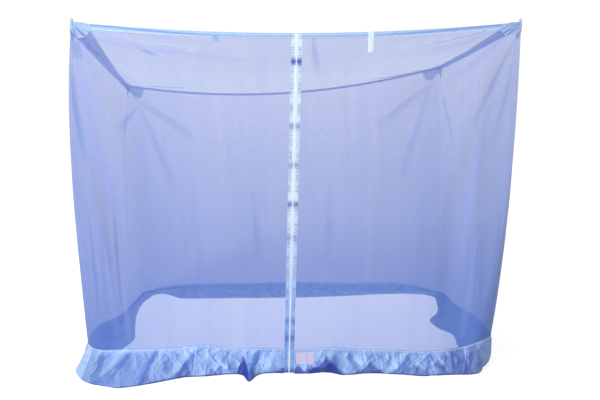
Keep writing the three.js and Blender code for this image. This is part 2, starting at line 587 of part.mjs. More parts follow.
// A flat piece in front of the front net, between two X and from one depth below the top to another.
function frontPiece({ from, to, below = 0, length }, rise) {
  const share = (x) => zipShare(1, x - ZIP_TOP_X);
  const grid = gridOf([from, (from + to) / 2, to], steps(3), (x, t) => {
    const height = topHeight(SIDES.front, share(x));
    const point = netPoint(SIDES.front, share(x), 1);
    point.z = height - below - length * (1 - t);
    return point;
  });
  return raised(grid, rise);
}
const OVER_BAND = BAND_RAISE + TAPE_THICK + LAYER_GAP;
const PATCH_RAISE = OVER_BAND + PATCH_CLEAR;
add("hang_tape", sheetGeometry(frontPiece(HANG_TAPE, OVER_BAND), TAPE_THICK), COLOURS.tape);
add("blue_tab", sheetGeometry(frontPiece(BLUE_TAB, OVER_BAND), TAPE_THICK), COLOURS.tab);

const labelCells = skirtGrids.front_right
  .slice(LABEL.columns[0], LABEL.columns[1] + 1)
  .map((line) => line.slice(LABEL.rows[0], LABEL.rows[1] + 1));
const labelGrid = trim(raised(labelCells, BAND_RAISE), LABEL.ends);
add("label", sheetGeometry(labelGrid, TAPE_THICK), COLOURS.label);

// A corner patch: one piece of satin tape folded round the top of a corner post.
function cornerPatch(before, after) {
  const { length: beforeLength } = planLine(before, 1);
  const { length: afterLength } = planLine(after, 1);
  const places = [-1, -0.7, -0.4, -0.15, 0, 0.15, 0.4, 0.7, 1];
  return gridOf(places, steps(3), (place, t) => {
    const [side, u] = place <= 0
      ? [before, 1 + (place * PATCH.reach) / beforeLength]
      : [after, (place * PATCH.reach) / afterLength];
    const drop = PATCH.height * (1 - PATCH.taper * Math.abs(place)) * (1 - t);
    const v = 1 - drop / topHeight(side, u);
    const point = netPoint(side, u, v);
    for (const each of place ? [side] : [before, after]) {
      const { outward } = planLine(each, v);
      point.x += outward.x * PATCH_RAISE;
      point.y += outward.y * PATCH_RAISE;
    }
    return point;
  });
}

// A tie loop: a ring of cord that stands on the corner, in the upright plane through its diagonal.
function tieLoop(corner) {
  const section = [];
  for (let k = 0; k <= LOOP.cordSides; k += 1) {
    const angle = (-2 * Math.PI * k) / LOOP.cordSides;
    section.push(new THREE.Vector2(LOOP.ring + LOOP.cord * Math.cos(angle), -LOOP.cord * Math.sin(angle)));
  }
  const geometry = new THREE.LatheGeometry(section, LOOP.ringSides);
  const [x, y, z] = corner.top;
  const [inX, inY] = [-Math.sign(x) * LOOP.inset, -Math.sign(y) * LOOP.inset];
  geometry.rotateZ(Math.atan2(inY, inX));
  geometry.translate(x + inX, y + inY, z + LOOP.lift + LOOP.ring + LOOP.cord);
  return geometry;
}

const SNAKE = {
  frontLeft: "front_left",
  frontRight: "front_right",
  backRight: "back_right",
  backLeft: "back_left",
};
for (const [key, name] of Object.entries(SNAKE)) {
  const patch = cornerPatch(sideBefore(key), sideAfter(key));
  add(`patch_${name}`, sheetGeometry(patch, TAPE_THICK), COLOURS.band, 0.6);
  add(`tie_loop_${name}`, tieLoop(CORNERS[key]), COLOURS.cord);
}

// The origin is the middle of the whole net's box, on the surface that its skirt lies on.
const middle = new THREE.Box3().setFromObject(canopy).getCenter(new THREE.Vector3());
canopy.position.set(-middle.x, -middle.y, 0);

export default canopy;
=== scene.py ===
# %% [markdown]
# # Hanging a mosquito net
# A box net for a single bed is nothing but thin cloth: five net walls, a net roof, and a satin skirt
# that lies round the foot. It keeps its shape only because its four top corners are tied up.
# So no block is modelled here. Each cloth is one grid of points that follows a few plain rules,
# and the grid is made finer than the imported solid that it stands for.
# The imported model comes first, because it fixes where everything is.

import math

import bpy
import numpy as np
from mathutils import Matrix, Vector, noise


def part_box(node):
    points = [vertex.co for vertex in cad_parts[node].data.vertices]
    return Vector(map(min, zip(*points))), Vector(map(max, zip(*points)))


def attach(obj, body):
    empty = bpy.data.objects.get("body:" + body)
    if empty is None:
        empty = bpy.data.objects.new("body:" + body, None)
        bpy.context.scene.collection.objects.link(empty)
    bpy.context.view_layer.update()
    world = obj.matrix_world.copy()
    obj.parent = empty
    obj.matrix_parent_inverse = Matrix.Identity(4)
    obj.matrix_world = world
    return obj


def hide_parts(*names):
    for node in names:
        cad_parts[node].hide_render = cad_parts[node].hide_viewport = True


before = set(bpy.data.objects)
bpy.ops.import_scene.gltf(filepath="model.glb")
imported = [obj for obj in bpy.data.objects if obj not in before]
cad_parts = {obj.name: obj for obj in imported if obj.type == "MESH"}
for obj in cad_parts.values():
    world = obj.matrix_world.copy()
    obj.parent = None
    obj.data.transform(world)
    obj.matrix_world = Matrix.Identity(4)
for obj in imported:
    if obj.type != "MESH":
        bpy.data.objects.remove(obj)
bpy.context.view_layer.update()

# %% [markdown]
# ## The drawing's own zero
# Nets are cut in millimetres, measured from the middle of the front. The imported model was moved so
# that its zero lies under the middle of the whole net, so the two differ by one shift.
# A tie loop sits on a known corner of the drawing, so its box gives that shift.

# %% Find the shift from drawing to frame
MM = 0.001
LOOP_INSET = 1.6  # the loop's middle lies this far in from its corner, both ways

# Each corner: where it is tied (top), its foot in plan if it were square, how far the net's edge swells
# sideways between the two and how high up (swell, power), and which way the skirt fans out (fan).
CORNERS = {
    "front_left": dict(top=(-992, -610, 1609), foot=(-1012, -612), swell=-24, power=2, fan=(-0.05, -1.0)),
    "front_right": dict(top=(992, -610, 1607), foot=(940, -612), swell=14, power=1, fan=(0.71, -0.71)),
    "back_right": dict(top=(850, 760, 1440), foot=(910, 770), swell=14, power=1, fan=(0.71, 0.71)),
    "back_left": dict(top=(-1065, 760, 1325), foot=(-1000, 800), swell=-10, power=1, fan=(-0.71, 0.71)),
}
loop_low, loop_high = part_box("tie_loop_front_left")
loop_middle = [(a + b) / 2 / MM for a, b in zip(loop_low, loop_high)]
left_top = CORNERS["front_left"]["top"]
SHIFT = np.array([loop_middle[0] - left_top[0] - LOOP_INSET, loop_middle[1] - left_top[1] - LOOP_INSET, 0.0])
print("shift in mm", SHIFT.round(2))

# %% [markdown]
# ## The foot of each side
# The foot is where the net shows how it was handled: here the skirt is pulled out in a point, there
# it is tucked under. One row per station along the side says how high the seam is (seam), how far out
# the skirt meets the surface (out), how far it then runs back in (lay) and how much it bulges (belly).
# A smooth curve through the rows does the rest, which is easier to steer than hundreds of points.

# %% Tables of the foot, in millimetres
FIELDS = ("at", "seam", "out", "lay", "belly")
FRONT_FOOT = [
    (-1012, 97, 165, 14, 6), (-903, 99, 200, 14, 8), (-863, 101, 214, 14, 10), (-813, 103, 228, 14, 12),
    (-712, 105, 194, 30, 14), (-597, 110, 134, 60, 20), (-520, 119, 96, 95, 18), (-420, 127, 83, 105, 14),
    (-309, 103, 56, 115, 24), (-252, 108, 72, 110, 8), (-217, 110, 148, 60, 2), (-180, 111, 66, 110, 10),
    (-120, 112, 40, 125, 28), (-29, 106, 42, 130, 18), (60, 106, 44, 125, 16), (150, 118, 26, 130, 38),
    (236, 112, 60, 120, 12), (360, 109, 34, 125, 30), (497, 106, 48, 125, 14), (623, 101, 66, 115, 10),
    (747, 111, 50, 110, 18), (830, 128, 46, 95, 14), (878, 144, 34, 100, 12), (940, 152, -14, 80, 6),
]
RIGHT_FOOT = [
    (-612, 152, -14, 80, 6), (-450, 153, -6, 92, 10), (-265, 146, 10, 112, 20), (-74, 124, 12, 106, 14),
    (28, 111, 20, 165, 18), (190, 78, 14, 184, 10), (349, 52, 16, 118, 10), (545, 37, 12, 80, 6),
    (770, 22, 10, 62, 3),
]
BACK_FOOT = [
    (910, 22, 10, 62, 3), (720, 58, 10, 42, 3), (520, 66, 12, 60, 3), (320, 60, 14, 104, 3),
    (0, 64, 12, 150, 3), (-375, 54, 16, 180, 4), (-600, 50, 12, 190, 3), (-776, 42, 10, 190, 2),
    (-880, 30, 10, 118, 2), (-1000, 14, 10, 80, 2),
]
LEFT_FOOT = [
    (800, 14, 10, 80, 2), (690, 14, 12, 70, 2), (512, 16, 14, 52, 3), (263, 26, 12, 70, 5),
    (-30, 70, 16, 130, 10), (-180, 96, 14, 158, 12), (-305, 118, 20, 150, 14), (-450, 126, 4, 90, 12),
    (-540, 110, 26, 36, 6), (-612, 97, 165, 14, 6),
]


def column(rows, name, at):
    """One column of a foot table at stations along the side, on a smooth curve through its rows."""
    table = np.array(sorted(rows), float)
    x, y = table[:, 0], table[:, FIELDS.index(name)]
    last = len(x) - 1
    before, after = np.maximum(np.arange(last + 1) - 1, 0), np.minimum(np.arange(last + 1) + 1, last)
    slope = (y[after] - y[before]) / (x[after] - x[before])
    i = np.clip(np.searchsorted(x, at) - 1, 0, last - 1)
    span = x[i + 1] - x[i]
    t = np.clip((at - x[i]) / span, 0, 1)
    start = (2 * t**3 - 3 * t**2 + 1) * y[i] + (t**3 - 2 * t**2 + t) * slope[i] * span
    return start + (3 * t**2 - 2 * t**3) * y[i + 1] + (t**3 - t**2) * slope[i + 1] * span


print("stations", len(FRONT_FOOT) + len(RIGHT_FOOT) + len(BACK_FOOT) + len(LEFT_FOOT))

# %% [markdown]
# ## Folds and creases
# Cloth that hangs from its corners folds along the lines of pull. Each fold is a soft ridge or trough
# from one point to another: where it starts, where it ends, how wide it is at each end, how deep.
# They are placed one by one, as a dressmaker would chalk them, and no two are alike.

# %% Tables of the main folds, in millimetres
# along, up -> along, up, width, width at the far end, depth
FRONT_FOLDS = [
    (90, 1360, 330, 620, 34, 80, 16), (150, 1400, 560, 900, 34, 90, -13), (70, 1200, 110, 260, 34, 46, 14),
    (160, 900, 210, 60, 40, 60, -12), (1890, 1350, 1660, 640, 34, 80, 15),
    (1830, 1400, 1420, 930, 36, 90, -12), (1860, 1100, 1800, 200, 40, 60, 14),
    (1740, 700, 1690, 60, 44, 66, -12),
]
RIGHT_FOLDS = [
    (120, 1330, 260, 120, 40, 60, 20), (280, 1180, 430, 60, 46, 60, -18), (560, 1000, 640, 40, 60, 70, 16),
    (860, 980, 800, 40, 60, 70, -16), (1210, 1180, 1060, 120, 46, 70, 20),
]
BACK_FOLDS = [
    (130, 1180, 420, 260, 40, 90, 18), (520, 900, 600, 60, 70, 80, -16), (980, 820, 930, 60, 80, 90, 14),
    (1760, 1080, 1480, 240, 40, 90, 18), (200, 110, 1000, 90, 70, 80, 30), (1000, 90, 1760, 120, 80, 80, 34),
]
LEFT_FOLDS = [
    (130, 1120, 300, 120, 40, 70, 20), (520, 1080, 540, 60, 60, 70, -16), (800, 1020, 840, 60, 56, 60, 18),
    (1090, 1200, 1040, 60, 46, 56, -18), (1270, 1340, 1230, 120, 40, 50, 18),
]
ROOF_FOLDS = [
    (120, 90, 760, 520, 34, 110, -18), (100, 160, 420, 900, 34, 110, 16), (1850, 90, 1180, 480, 34, 110, -18),
    (1880, 170, 1560, 900, 34, 110, 16), (130, 1250, 640, 960, 36, 100, -16),
    (1830, 1250, 1330, 960, 36, 100, -16),
]
# The skirt's creases: along, distance across the cloth from its inner edge.
FRONT_CREASES = [
    (70, 130, 190, 230, 16, 22, 9), (300, 120, 340, 232, 16, 20, -9), (420, 130, 520, 228, 18, 20, 10),
    (640, 220, 720, 130, 18, 22, 12), (800, 130, 860, 226, 18, 20, -10), (1120, 130, 1210, 224, 18, 22, 11),
    (1280, 226, 1350, 130, 18, 22, -10), (1470, 130, 1560, 222, 18, 20, 10),
    (1680, 226, 1760, 130, 18, 22, -9),
]
RIGHT_CREASES = [
    (260, 20, 330, 225, 20, 24, 10), (560, 10, 520, 220, 20, 24, 12), (800, 20, 860, 200, 22, 24, 9),
    (1100, 15, 1060, 200, 22, 24, 9),
]
BACK_CREASES = [
    (260, 15, 330, 110, 20, 24, 9), (620, 15, 560, 110, 22, 26, 10), (980, 10, 1060, 110, 22, 28, 11),
    (1330, 10, 1270, 115, 22, 28, 10), (1640, 10, 1700, 110, 22, 28, 12),
]
LEFT_CREASES = [
    (330, 15, 300, 110, 20, 24, 9), (640, 20, 700, 190, 22, 26, 9), (930, 10, 980, 215, 20, 26, 11),
    (1150, 20, 1110, 225, 20, 24, 10),
]
FOLD_ENDS = 0.35  # share of a fold's depth that is left at its two ends


def relief(rows, along, up):
    """Height of a set of soft ridges over a grid of points."""
    height = np.zeros(np.broadcast(along, up).shape)
    for x0, y0, x1, y1, width, far_width, depth in rows:
        dx, dy = x1 - x0, y1 - y0
        t = np.clip(((along - x0) * dx + (up - y0) * dy) / (dx * dx + dy * dy), 0, 1)
        off = np.hypot(along - x0 - dx * t, up - y0 - dy * t)
        wide = width + (far_width - width) * t
        height += depth * np.exp(-((off / wide) ** 2)) * (FOLD_ENDS + (1 - FOLD_ENDS) * np.sin(np.pi * t))
    return height


print("main folds", len(FRONT_FOLDS + RIGHT_FOLDS + BACK_FOLDS + LEFT_FOLDS + ROOF_FOLDS))

# %% [markdown]
# ## The hung net as a surface
# A net wall is a ruled surface: a straight line between two corner posts at every height. The posts
# lean and swell a little, the foot is rounded, and the top edge dips between its ties. The folds are
# then laid on along the outward direction. A grid worked out this way meets its neighbours exactly,
# which a simulation would only do by luck.

# %% Points of the net walls
TOP_SAG = dict(front=47, right=4, back=100, left=4)  # dip of each top edge between its corners
ROOF_SAG = 22  # further dip of the roof between its front and back edges
FOOT_ROUND = 40  # inset of the rounded corners at the foot of the net
EDGE_FADE = 90  # folds fade out over this distance from a seam
SEAM_FADE = 2  # how many times faster they fade at the foot
ARCH = 4  # makes u * (1 - u) reach 1 at its middle
ROOF_WIDE = CORNERS["front_right"]["top"][0] - CORNERS["front_left"]["top"][0]
ROOF_DEEP = CORNERS["back_left"]["top"][1] - CORNERS["front_left"]["top"][1]
SIDES = {
    "front": dict(ends=("front_left", "front_right"), axis=0, foot=FRONT_FOOT, folds=FRONT_FOLDS),
    "right": dict(ends=("front_right", "back_right"), axis=1, foot=RIGHT_FOOT, folds=RIGHT_FOLDS),
    "back": dict(ends=("back_right", "back_left"), axis=0, foot=BACK_FOOT, folds=BACK_FOLDS),
    "left": dict(ends=("back_left", "front_left"), axis=1, foot=LEFT_FOOT, folds=LEFT_FOLDS),
}


def lerp(a, b, t):
    return a + (b - a) * t


def smooth(t):
    t = np.clip(t, 0, 1)
    return t * t * (3 - 2 * t)


def post(name, v):
    """Plan position of a corner post at height share v, as an array that ends in X, Y."""
    corner = CORNERS[name]
    p = corner["power"]
    peak = (p / (p + 1)) ** p / (p + 1)  # the highest value of v**p * (1 - v)
    foot, top = corner["foot"], corner["top"]
    x = lerp(foot[0], top[0], v) + corner["swell"] * v**p * (1 - v) / peak
    return np.stack([x, lerp(foot[1], top[1], v)], axis=-1)


def outward(side, v):
    """The way out of a side, at right angles to it in plan."""
    a, b = (post(end, v) for end in SIDES[side]["ends"])
    way = (b - a) / np.linalg.norm(b - a, axis=-1, keepdims=True)
    return np.stack([way[..., 1], -way[..., 0]], axis=-1)


def round_at(v):
    """How far a corner is rounded off at height share v: most at the foot."""
    return FOOT_ROUND * (1 - v) ** 3


def corner_point(name, v):
    """Where the two walls that meet at a corner share their edge."""
    touching = [side for side in SIDES if name in SIDES[side]["ends"]]
    return post(name, v) - sum(outward(side, v) for side in touching) * round_at(v)[..., None]


def station(side, u):
    """The foot tables' own measure (X or Y) at a share along the side."""
    ends, axis = SIDES[side]["ends"], SIDES[side]["axis"]
    return lerp(CORNERS[ends[0]]["foot"][axis], CORNERS[ends[1]]["foot"][axis], u)


def top_height(side, u):
    """Height of a side's top edge, which dips between its two ties."""
    a, b = (CORNERS[end]["top"][2] for end in SIDES[side]["ends"])
    return lerp(a, b, u) - TOP_SAG[side] * ARCH * u * (1 - u)


def net_point(side, u, v, finer=None):
    """Points of a wall: u along it, v from the skirt seam (0) to the top edge (1)."""
    u, v = np.broadcast_arrays(np.asarray(u, float), np.asarray(v, float))
    a, b = (corner_point(end, v) for end in SIDES[side]["ends"])
    length = np.linalg.norm(b - a, axis=-1)
    rounding = np.maximum(round_at(v), 1e-6)  # never 0, since ease divides by it

    def ease(d):
        return np.where(d < 2 * rounding, rounding * (1 - d / (2 * rounding)) ** 2, 0)

    inset = ease(u * length) + ease((1 - u) * length) - rounding
    seam = column(SIDES[side]["foot"], "seam", station(side, u))
    height = top_height(side, u) - seam
    edge = np.minimum.reduce([u * length, (1 - u) * length, SEAM_FADE * v * height, (1 - v) * height])
    fold = relief(SIDES[side]["folds"], u * length, v * height)
    if finer is not None:
        fold = fold + finer(u * length, v * height)
    fold = fold * smooth(edge / EDGE_FADE)
    plan = lerp(a, b, u[..., None]) + outward(side, v) * (fold - inset)[..., None]
    return np.concatenate([plan, (seam + v * height)[..., None]], axis=-1)


def roof_point(u, v, finer=None):
    """Points of the roof: u along it from the left, v from its front edge (0) to its back edge (1)."""
    u, v = np.broadcast_arrays(np.asarray(u, float), np.asarray(v, float))
    one = np.ones_like(u)
    point = lerp(net_point("front", u, one), net_point("back", 1 - u, one), v[..., None])
    wide, deep = u * ROOF_WIDE, v * ROOF_DEEP
    edge = np.minimum.reduce([wide, (1 - u) * ROOF_WIDE, deep, (1 - v) * ROOF_DEEP])
    fold = relief(ROOF_FOLDS, wide, deep)
    if finer is not None:
        fold = fold + finer(wide, deep)
    point[..., 2] += fold * smooth(edge / EDGE_FADE) - ROOF_SAG * ARCH**2 * u * (1 - u) * v * (1 - v)
    return point


print("front top dips to", top_height("front", 0.5), "mm")

# %% [markdown]
# ## The zip's line
# The zip parts the front from top to bottom and hangs a little aslant. Everything on the front that
# touches it asks this one function where it is, so the halves of the net always meet the tapes.

# %% Where the zip is
ZIP_TOP_X, ZIP_FOOT_X = 8, -29  # the zip's middle at the top edge and at the skirt's seam
ZIP_HALF, COIL_HALF = 24, 2.2  # half the width of the zip and of its coil


def zip_share(v, shift=0.0):
    """Share along the front where the zip's middle is, or a line beside it."""
    v = np.asarray(v, float)
    a, b = corner_point("front_left", v)[..., 0], corner_point("front_right", v)[..., 0]
    return (lerp(ZIP_FOOT_X, ZIP_TOP_X, v) + shift - a) / (b - a)


print("zip at the seam, share of the front", round(float(zip_share(0.0)), 4))

# %% [markdown]
# ## The skirt as a surface
# The skirt falls from the seam, bulges, meets the surface, bends and runs back inwards. Satin is
# stiffer than net, so between its main creases it breaks into many small sharp ones. Ridged noise
# gives the flat facets of crumpled cloth, and short straight creases strewn over it give the crisp
# lines. Both have fixed seeds, so the cloth is crumpled in the same way every time.

# %% Points of the skirt
SKIRT_WIDTH = 250
FAN_REACH = 200  # how far from a corner the skirt still fans out towards it
CREASE_FADE = 50  # the main creases fade out over this distance from a corner
LAY_END, BEND_END = 0.4, 0.52  # shares of the width where the lying part and then the bend end
BEND_MOST, BEND_SHARE = 8, 0.4  # the bend's radius, and its most as a share of what is beside it
BULGE = 27 / 4  # makes t * (1 - t)**2 reach 1 at its highest
LYING = 1.0  # height of the lying cloth above the surface
SHARPNESS = 1.6  # of the ridges between the facets
SQUARE_DECIMETRE = 1e4  # in square millimetres
FLATTEST = 0.15  # a strewn crease keeps this angle from the cloth's length, in radians
CREASES = dict(front=FRONT_CREASES, right=RIGHT_CREASES, back=BACK_CREASES, left=LEFT_CREASES)


def spread(side, u):
    """The way the skirt spreads at each station, and the side's length at the foot."""
    ends = SIDES[side]["ends"]
    a, b = (post(end, np.zeros(())) for end in ends)
    length = np.linalg.norm(b - a)
    straight = outward(side, np.zeros(()))

    def turn(d):
        return (np.maximum(0, 1 - d / FAN_REACH) ** 2)[..., None]

    way = straight + (np.array(CORNERS[ends[0]]["fan"]) - straight) * turn(u * length)
    way = way + (np.array(CORNERS[ends[1]]["fan"]) - way) * turn((1 - u) * length)
    return way / np.linalg.norm(way, axis=-1, keepdims=True), length


def crumple(along, across, seed, size):
    """Ridged noise between -1 and 1 over millimetres of cloth: flat facets between crisp lines."""
    places = zip(np.ravel(along), np.ravel(across))
    plain = np.array([noise.noise((x / size, y / size, seed)) for x, y in places])
    return 1 - 2 * np.abs(plain.reshape(np.shape(along))) ** (1 / SHARPNESS)


def hard_creases(along, across, seed, share, lengths, widths, depths):
    """Straight sharp creases strewn over a cloth: share is how many there are per square decimetre."""
    strewn = np.random.default_rng(seed)
    length, wide = np.ptp(along), np.ptp(across)
    height = np.zeros(along.shape)
    for _ in range(int(share * length * wide / SQUARE_DECIMETRE)):
        x = along.min() + length * strewn.random()
        y = across.min() + wide * strewn.random()
        way = strewn.uniform(FLATTEST, math.pi - FLATTEST)
        reach = strewn.uniform(*lengths)
        width = strewn.uniform(*widths)
        depth = strewn.uniform(*depths) * strewn.choice((-1, 1))
        dx, dy = along - x, across - y
        t = (dx * math.cos(way) + dy * math.sin(way)) / reach
        off = np.abs(dy * math.cos(way) - dx * math.sin(way)) / width
        height += depth * np.maximum(0, 1 - off) * np.maximum(0, 1 - t * t)
    return height


def skirt_point(side, u, w):
    """Points of the skirt: u along it, w from its inner edge (0) over the foot to the seam (1)."""
    u, w = np.broadcast_arrays(np.asarray(u, float), np.asarray(w, float))
    seam = net_point(side, u, np.zeros_like(u))
    foot, at = SIDES[side]["foot"], station(side, u)
    out, lay, belly = (column(foot, name, at) for name in ("out", "lay", "belly"))
    bend = np.minimum.reduce([np.full_like(u, BEND_MOST), BEND_SHARE * seam[..., 2], BEND_SHARE * lay])
    way, length = spread(side, u)
    fade = smooth(np.minimum(u, 1 - u) * length / CREASE_FADE)
    crease = relief(CREASES[side], u * length, w * SKIRT_WIDTH) * fade
    s = w / LAY_END
    hump = 0 if side == "front" else 1  # the front's lying part is the only one without creases
    lying_reach = out - lerp(lay, bend, s)
    lying_z = np.maximum(0, crease * hump * np.sin(np.pi * np.clip(s, 0, 1)))
    angle = np.clip((w - LAY_END) / (BEND_END - LAY_END), 0, 1) * math.pi / 2
    bend_reach = out - bend * (1 - np.sin(angle))
    bend_z = bend * (1 - np.cos(angle))
    t = np.clip((w - BEND_END) / (1 - BEND_END), 0, 1)
    rise_reach = out * (1 - t) ** 2 + (belly + crease) * BULGE * t * (1 - t) ** 2
    rise_z = lerp(LYING + bend, seam[..., 2], t)
    reach = np.where(w <= LAY_END, lying_reach, np.where(w <= BEND_END, bend_reach, rise_reach))
    z = np.where(w <= LAY_END, LYING + lying_z, np.where(w <= BEND_END, LYING + bend_z, rise_z))
    plan = seam[..., :2] + way * reach[..., None]
    return np.concatenate([plan, z[..., None]], axis=-1)


print("skirt foot at the left front corner", skirt_point("front", 0.0, 0.5).round(1))

# %% [markdown]
# ## From a grid of points to a cloth
# One helper turns any grid into a mesh. It keeps, on every point, where that point is on the flat
# cloth (along and up, in millimetres) and how much of a fold, tuck or pinch runs there (extra), which
# the materials mostly use as painted shade, and on the net's fold ridges as painted highlight. A second
# attribute is a tone: how much denser and deeper blue the net is made, or the painted light and shade
# of a satin facet from its tilt.
# Materials read both, so a weave or a row of stitches follows the cloth and not the room, and needs
# no unwrapping.

# %% Make a cloth from a grid
def normals_of(grid):
    """Unit normals of a grid of points."""
    across = np.gradient(grid, axis=0)
    upward = np.gradient(grid, axis=1)
    normal = np.cross(across, upward)
    return normal / np.maximum(np.linalg.norm(normal, axis=-1, keepdims=True), 1e-9)


def make_cloth(name, grid, along, up, extra=0.0, tone=0.0):
    """A mesh of quads from a grid in millimetres, with its place, extra and tone on every point."""
    n, m = grid.shape[:2]
    vertices = (grid + SHIFT) * MM
    i, j = np.meshgrid(np.arange(n - 1), np.arange(m - 1), indexing="ij")
    low = i * m + j
    faces = np.stack([low, low + m, low + m + 1, low + 1], axis=-1).reshape(-1, 4)
    mesh = bpy.data.meshes.new(name)
    mesh.vertices.add(n * m)
    mesh.vertices.foreach_set("co", vertices.reshape(-1).astype(np.float32))
    mesh.loops.add(faces.size)
    mesh.loops.foreach_set("vertex_index", faces.reshape(-1).astype(np.int32))
    mesh.polygons.add(len(faces))
    mesh.polygons.foreach_set("loop_start", (np.arange(len(faces)) * 4).astype(np.int32))
    mesh.update(calc_edges=True)
    mesh.validate()
    mesh.polygons.foreach_set("use_smooth", np.ones(len(faces), bool))
    place = np.stack(np.broadcast_arrays(along, up, np.asarray(extra, float)), axis=-1)
    layer = mesh.attributes.new("cloth", "FLOAT_VECTOR", "POINT")
    layer.data.foreach_set("vector", np.broadcast_to(place, (n, m, 3)).reshape(-1).astype(np.float32))
    layer = mesh.attributes.new("tone", "FLOAT", "POINT")
    layer.data.foreach_set("value", np.array(np.broadcast_to(tone, (n, m)), np.float32).reshape(-1))
    piece = bpy.data.objects.new(name, mesh)
    bpy.context.collection.objects.link(piece)
    print(f"{name}: {len(faces) * 2} triangles")
    return piece


def grid_axes(us, vs):
    return np.meshgrid(np.asarray(us, float), np.asarray(vs, float), indexing="ij")


# %% [markdown]
# ## Finishes as small machines
# Several cloths share the same effects: a weave, uneven dye, stitching. Each is built once as a node
# group with named inputs, then placed in every material with that cloth's own values. A group only
# puts out masks, heights and colours. The shader stays in the material, where it is easy to read.

# %% Helpers for node groups and materials
def socket(sockets, name):
    """The socket of that name that is in use: a Mix or Map Range node also has hidden ones."""
    return next(s for s in sockets if s.name == name and s.enabled)


def new_group(name, inputs, outputs):
    group = bpy.data.node_groups.new(name, "ShaderNodeTree")
    for title, value in inputs.items():
        item = group.interface.new_socket(title, in_out="INPUT", socket_type="NodeSocketFloat")
        item.default_value = value
    for title in outputs:
        group.interface.new_socket(title, in_out="OUTPUT", socket_type="NodeSocketFloat")
    return group, group.nodes.new("NodeGroupInput"), group.nodes.new("NodeGroupOutput")


def math_node(tree, operation, a, b=None, c=None):
    node = tree.nodes.new("ShaderNodeMath")
    node.operation = operation
    for i, value in enumerate((a, b, c)):
        if value is None:
            continue
        if isinstance(value, (int, float)):
            node.inputs[i].default_value = value
        else:
            tree.links.new(value, node.inputs[i])
    return node.outputs[0]


def noise_node(tree, vector, scale, detail=2.0, rough=0.5):
    node = tree.nodes.new("ShaderNodeTexNoise")
    node.inputs["Scale"].default_value = scale
    node.inputs["Detail"].default_value = detail
    node.inputs["Roughness"].default_value = rough
    tree.links.new(vector, node.inputs["Vector"])
    return node.outputs["Fac"]


def combine(tree, x, y, z=0.0):
    node = tree.nodes.new("ShaderNodeCombineXYZ")
    for i, value in enumerate((x, y, z)):
        if isinstance(value, (int, float)):
            node.inputs[i].default_value = value
        else:
            tree.links.new(value, node.inputs[i])
    return node.outputs[0]


def counted(tree, put_in, width, length):
    """Place on the cloth, counted along and up in two of a group's own inputs."""
    return combine(
        tree,
        math_node(tree, "DIVIDE", put_in.outputs["Along"], put_in.outputs[width]),
        math_node(tree, "DIVIDE", put_in.outputs["Up"], put_in.outputs[length]),
    )


# %% [markdown]
# ## Knit, weave, streaks, stitches and creases
# Warp-knit net is a fine lattice of holes, so its group crosses two slanting sets of threads. Plain
# weave goes over and under at right angles. Streaks run up the cloth, because warp threads never take
# quite the same tension or dye. A stitch row is a dashed line at a set height. Small creases are
# ridged noise for the bump, beside a softer noise for slow changes of shade.

# %% Build the shared effects
STITCH_SHARE = 0.7  # the share of a stitch's pitch that shows thread

knit, put_in, put_out = new_group("knit_mesh", {"Along": 0, "Up": 0, "Pitch": 1.6}, ["Thread"])
lines = []
for slanting in ("ADD", "SUBTRACT"):
    slant = math_node(knit, slanting, put_in.outputs["Along"], put_in.outputs["Up"])
    turns = math_node(knit, "DIVIDE", math_node(knit, "MULTIPLY", slant, math.pi), put_in.outputs["Pitch"])
    lines.append(math_node(knit, "POWER", math_node(knit, "ABSOLUTE", math_node(knit, "SINE", turns)), 2.0))
knit.links.new(math_node(knit, "MAXIMUM", *lines), put_out.inputs["Thread"])

weave, put_in, put_out = new_group("plain_weave", {"Along": 0, "Up": 0, "Pitch": 0.8}, ["Height"])
waves = []
for name in ("Along", "Up"):
    turns = math_node(weave, "MULTIPLY", put_in.outputs[name], math.pi)
    waves.append(math_node(weave, "SINE", math_node(weave, "DIVIDE", turns, put_in.outputs["Pitch"])))
product = math_node(weave, "MULTIPLY", *waves)
weave.links.new(math_node(weave, "MULTIPLY_ADD", product, 0.5, 0.5), put_out.inputs["Height"])

streaks, put_in, put_out = new_group(
    "warp_streaks", {"Along": 0, "Up": 0, "Width": 20, "Length": 600}, ["Shade"]
)
place = counted(streaks, put_in, "Width", "Length")
streaks.links.new(noise_node(streaks, place, 1.0, 3.0, 0.55), put_out.inputs["Shade"])

stitches, put_in, put_out = new_group(
    "stitch_row", {"Along": 0, "Up": 0, "Row": 0, "Pitch": 3, "Width": 0.8}, ["Thread"]
)
away = math_node(stitches, "SUBTRACT", put_in.outputs["Up"], put_in.outputs["Row"])
on_row = math_node(stitches, "LESS_THAN", math_node(stitches, "ABSOLUTE", away), put_in.outputs["Width"])
turn = math_node(stitches, "DIVIDE", put_in.outputs["Along"], put_in.outputs["Pitch"])
on_thread = math_node(stitches, "LESS_THAN", math_node(stitches, "FRACT", turn), STITCH_SHARE)
stitches.links.new(math_node(stitches, "MULTIPLY", on_row, on_thread), put_out.inputs["Thread"])

creased, put_in, put_out = new_group("small_creases", {"Along": 0, "Up": 0, "Size": 30}, ["Height", "Soft"])
place = counted(creased, put_in, "Size", "Size")
centred = math_node(creased, "SUBTRACT", noise_node(creased, place, 1.0, 3.0, 0.45), 0.5)
ridge = math_node(creased, "POWER", math_node(creased, "ABSOLUTE", centred), 0.7)
creased.links.new(math_node(creased, "SUBTRACT", 1.0, ridge), put_out.inputs["Height"])
warped = combine(creased, noise_node(creased, place, 1.7, 1.0), noise_node(creased, place, 2.3, 1.0))
blend = creased.nodes.new("ShaderNodeVectorMath")
blend.operation = "ADD"
creased.links.new(place, blend.inputs[0])
creased.links.new(warped, blend.inputs[1])
creased.links.new(noise_node(creased, blend.outputs[0], 1.4, 2.0, 0.5), put_out.inputs["Soft"])
print("shared effects", [g.name for g in bpy.data.node_groups])

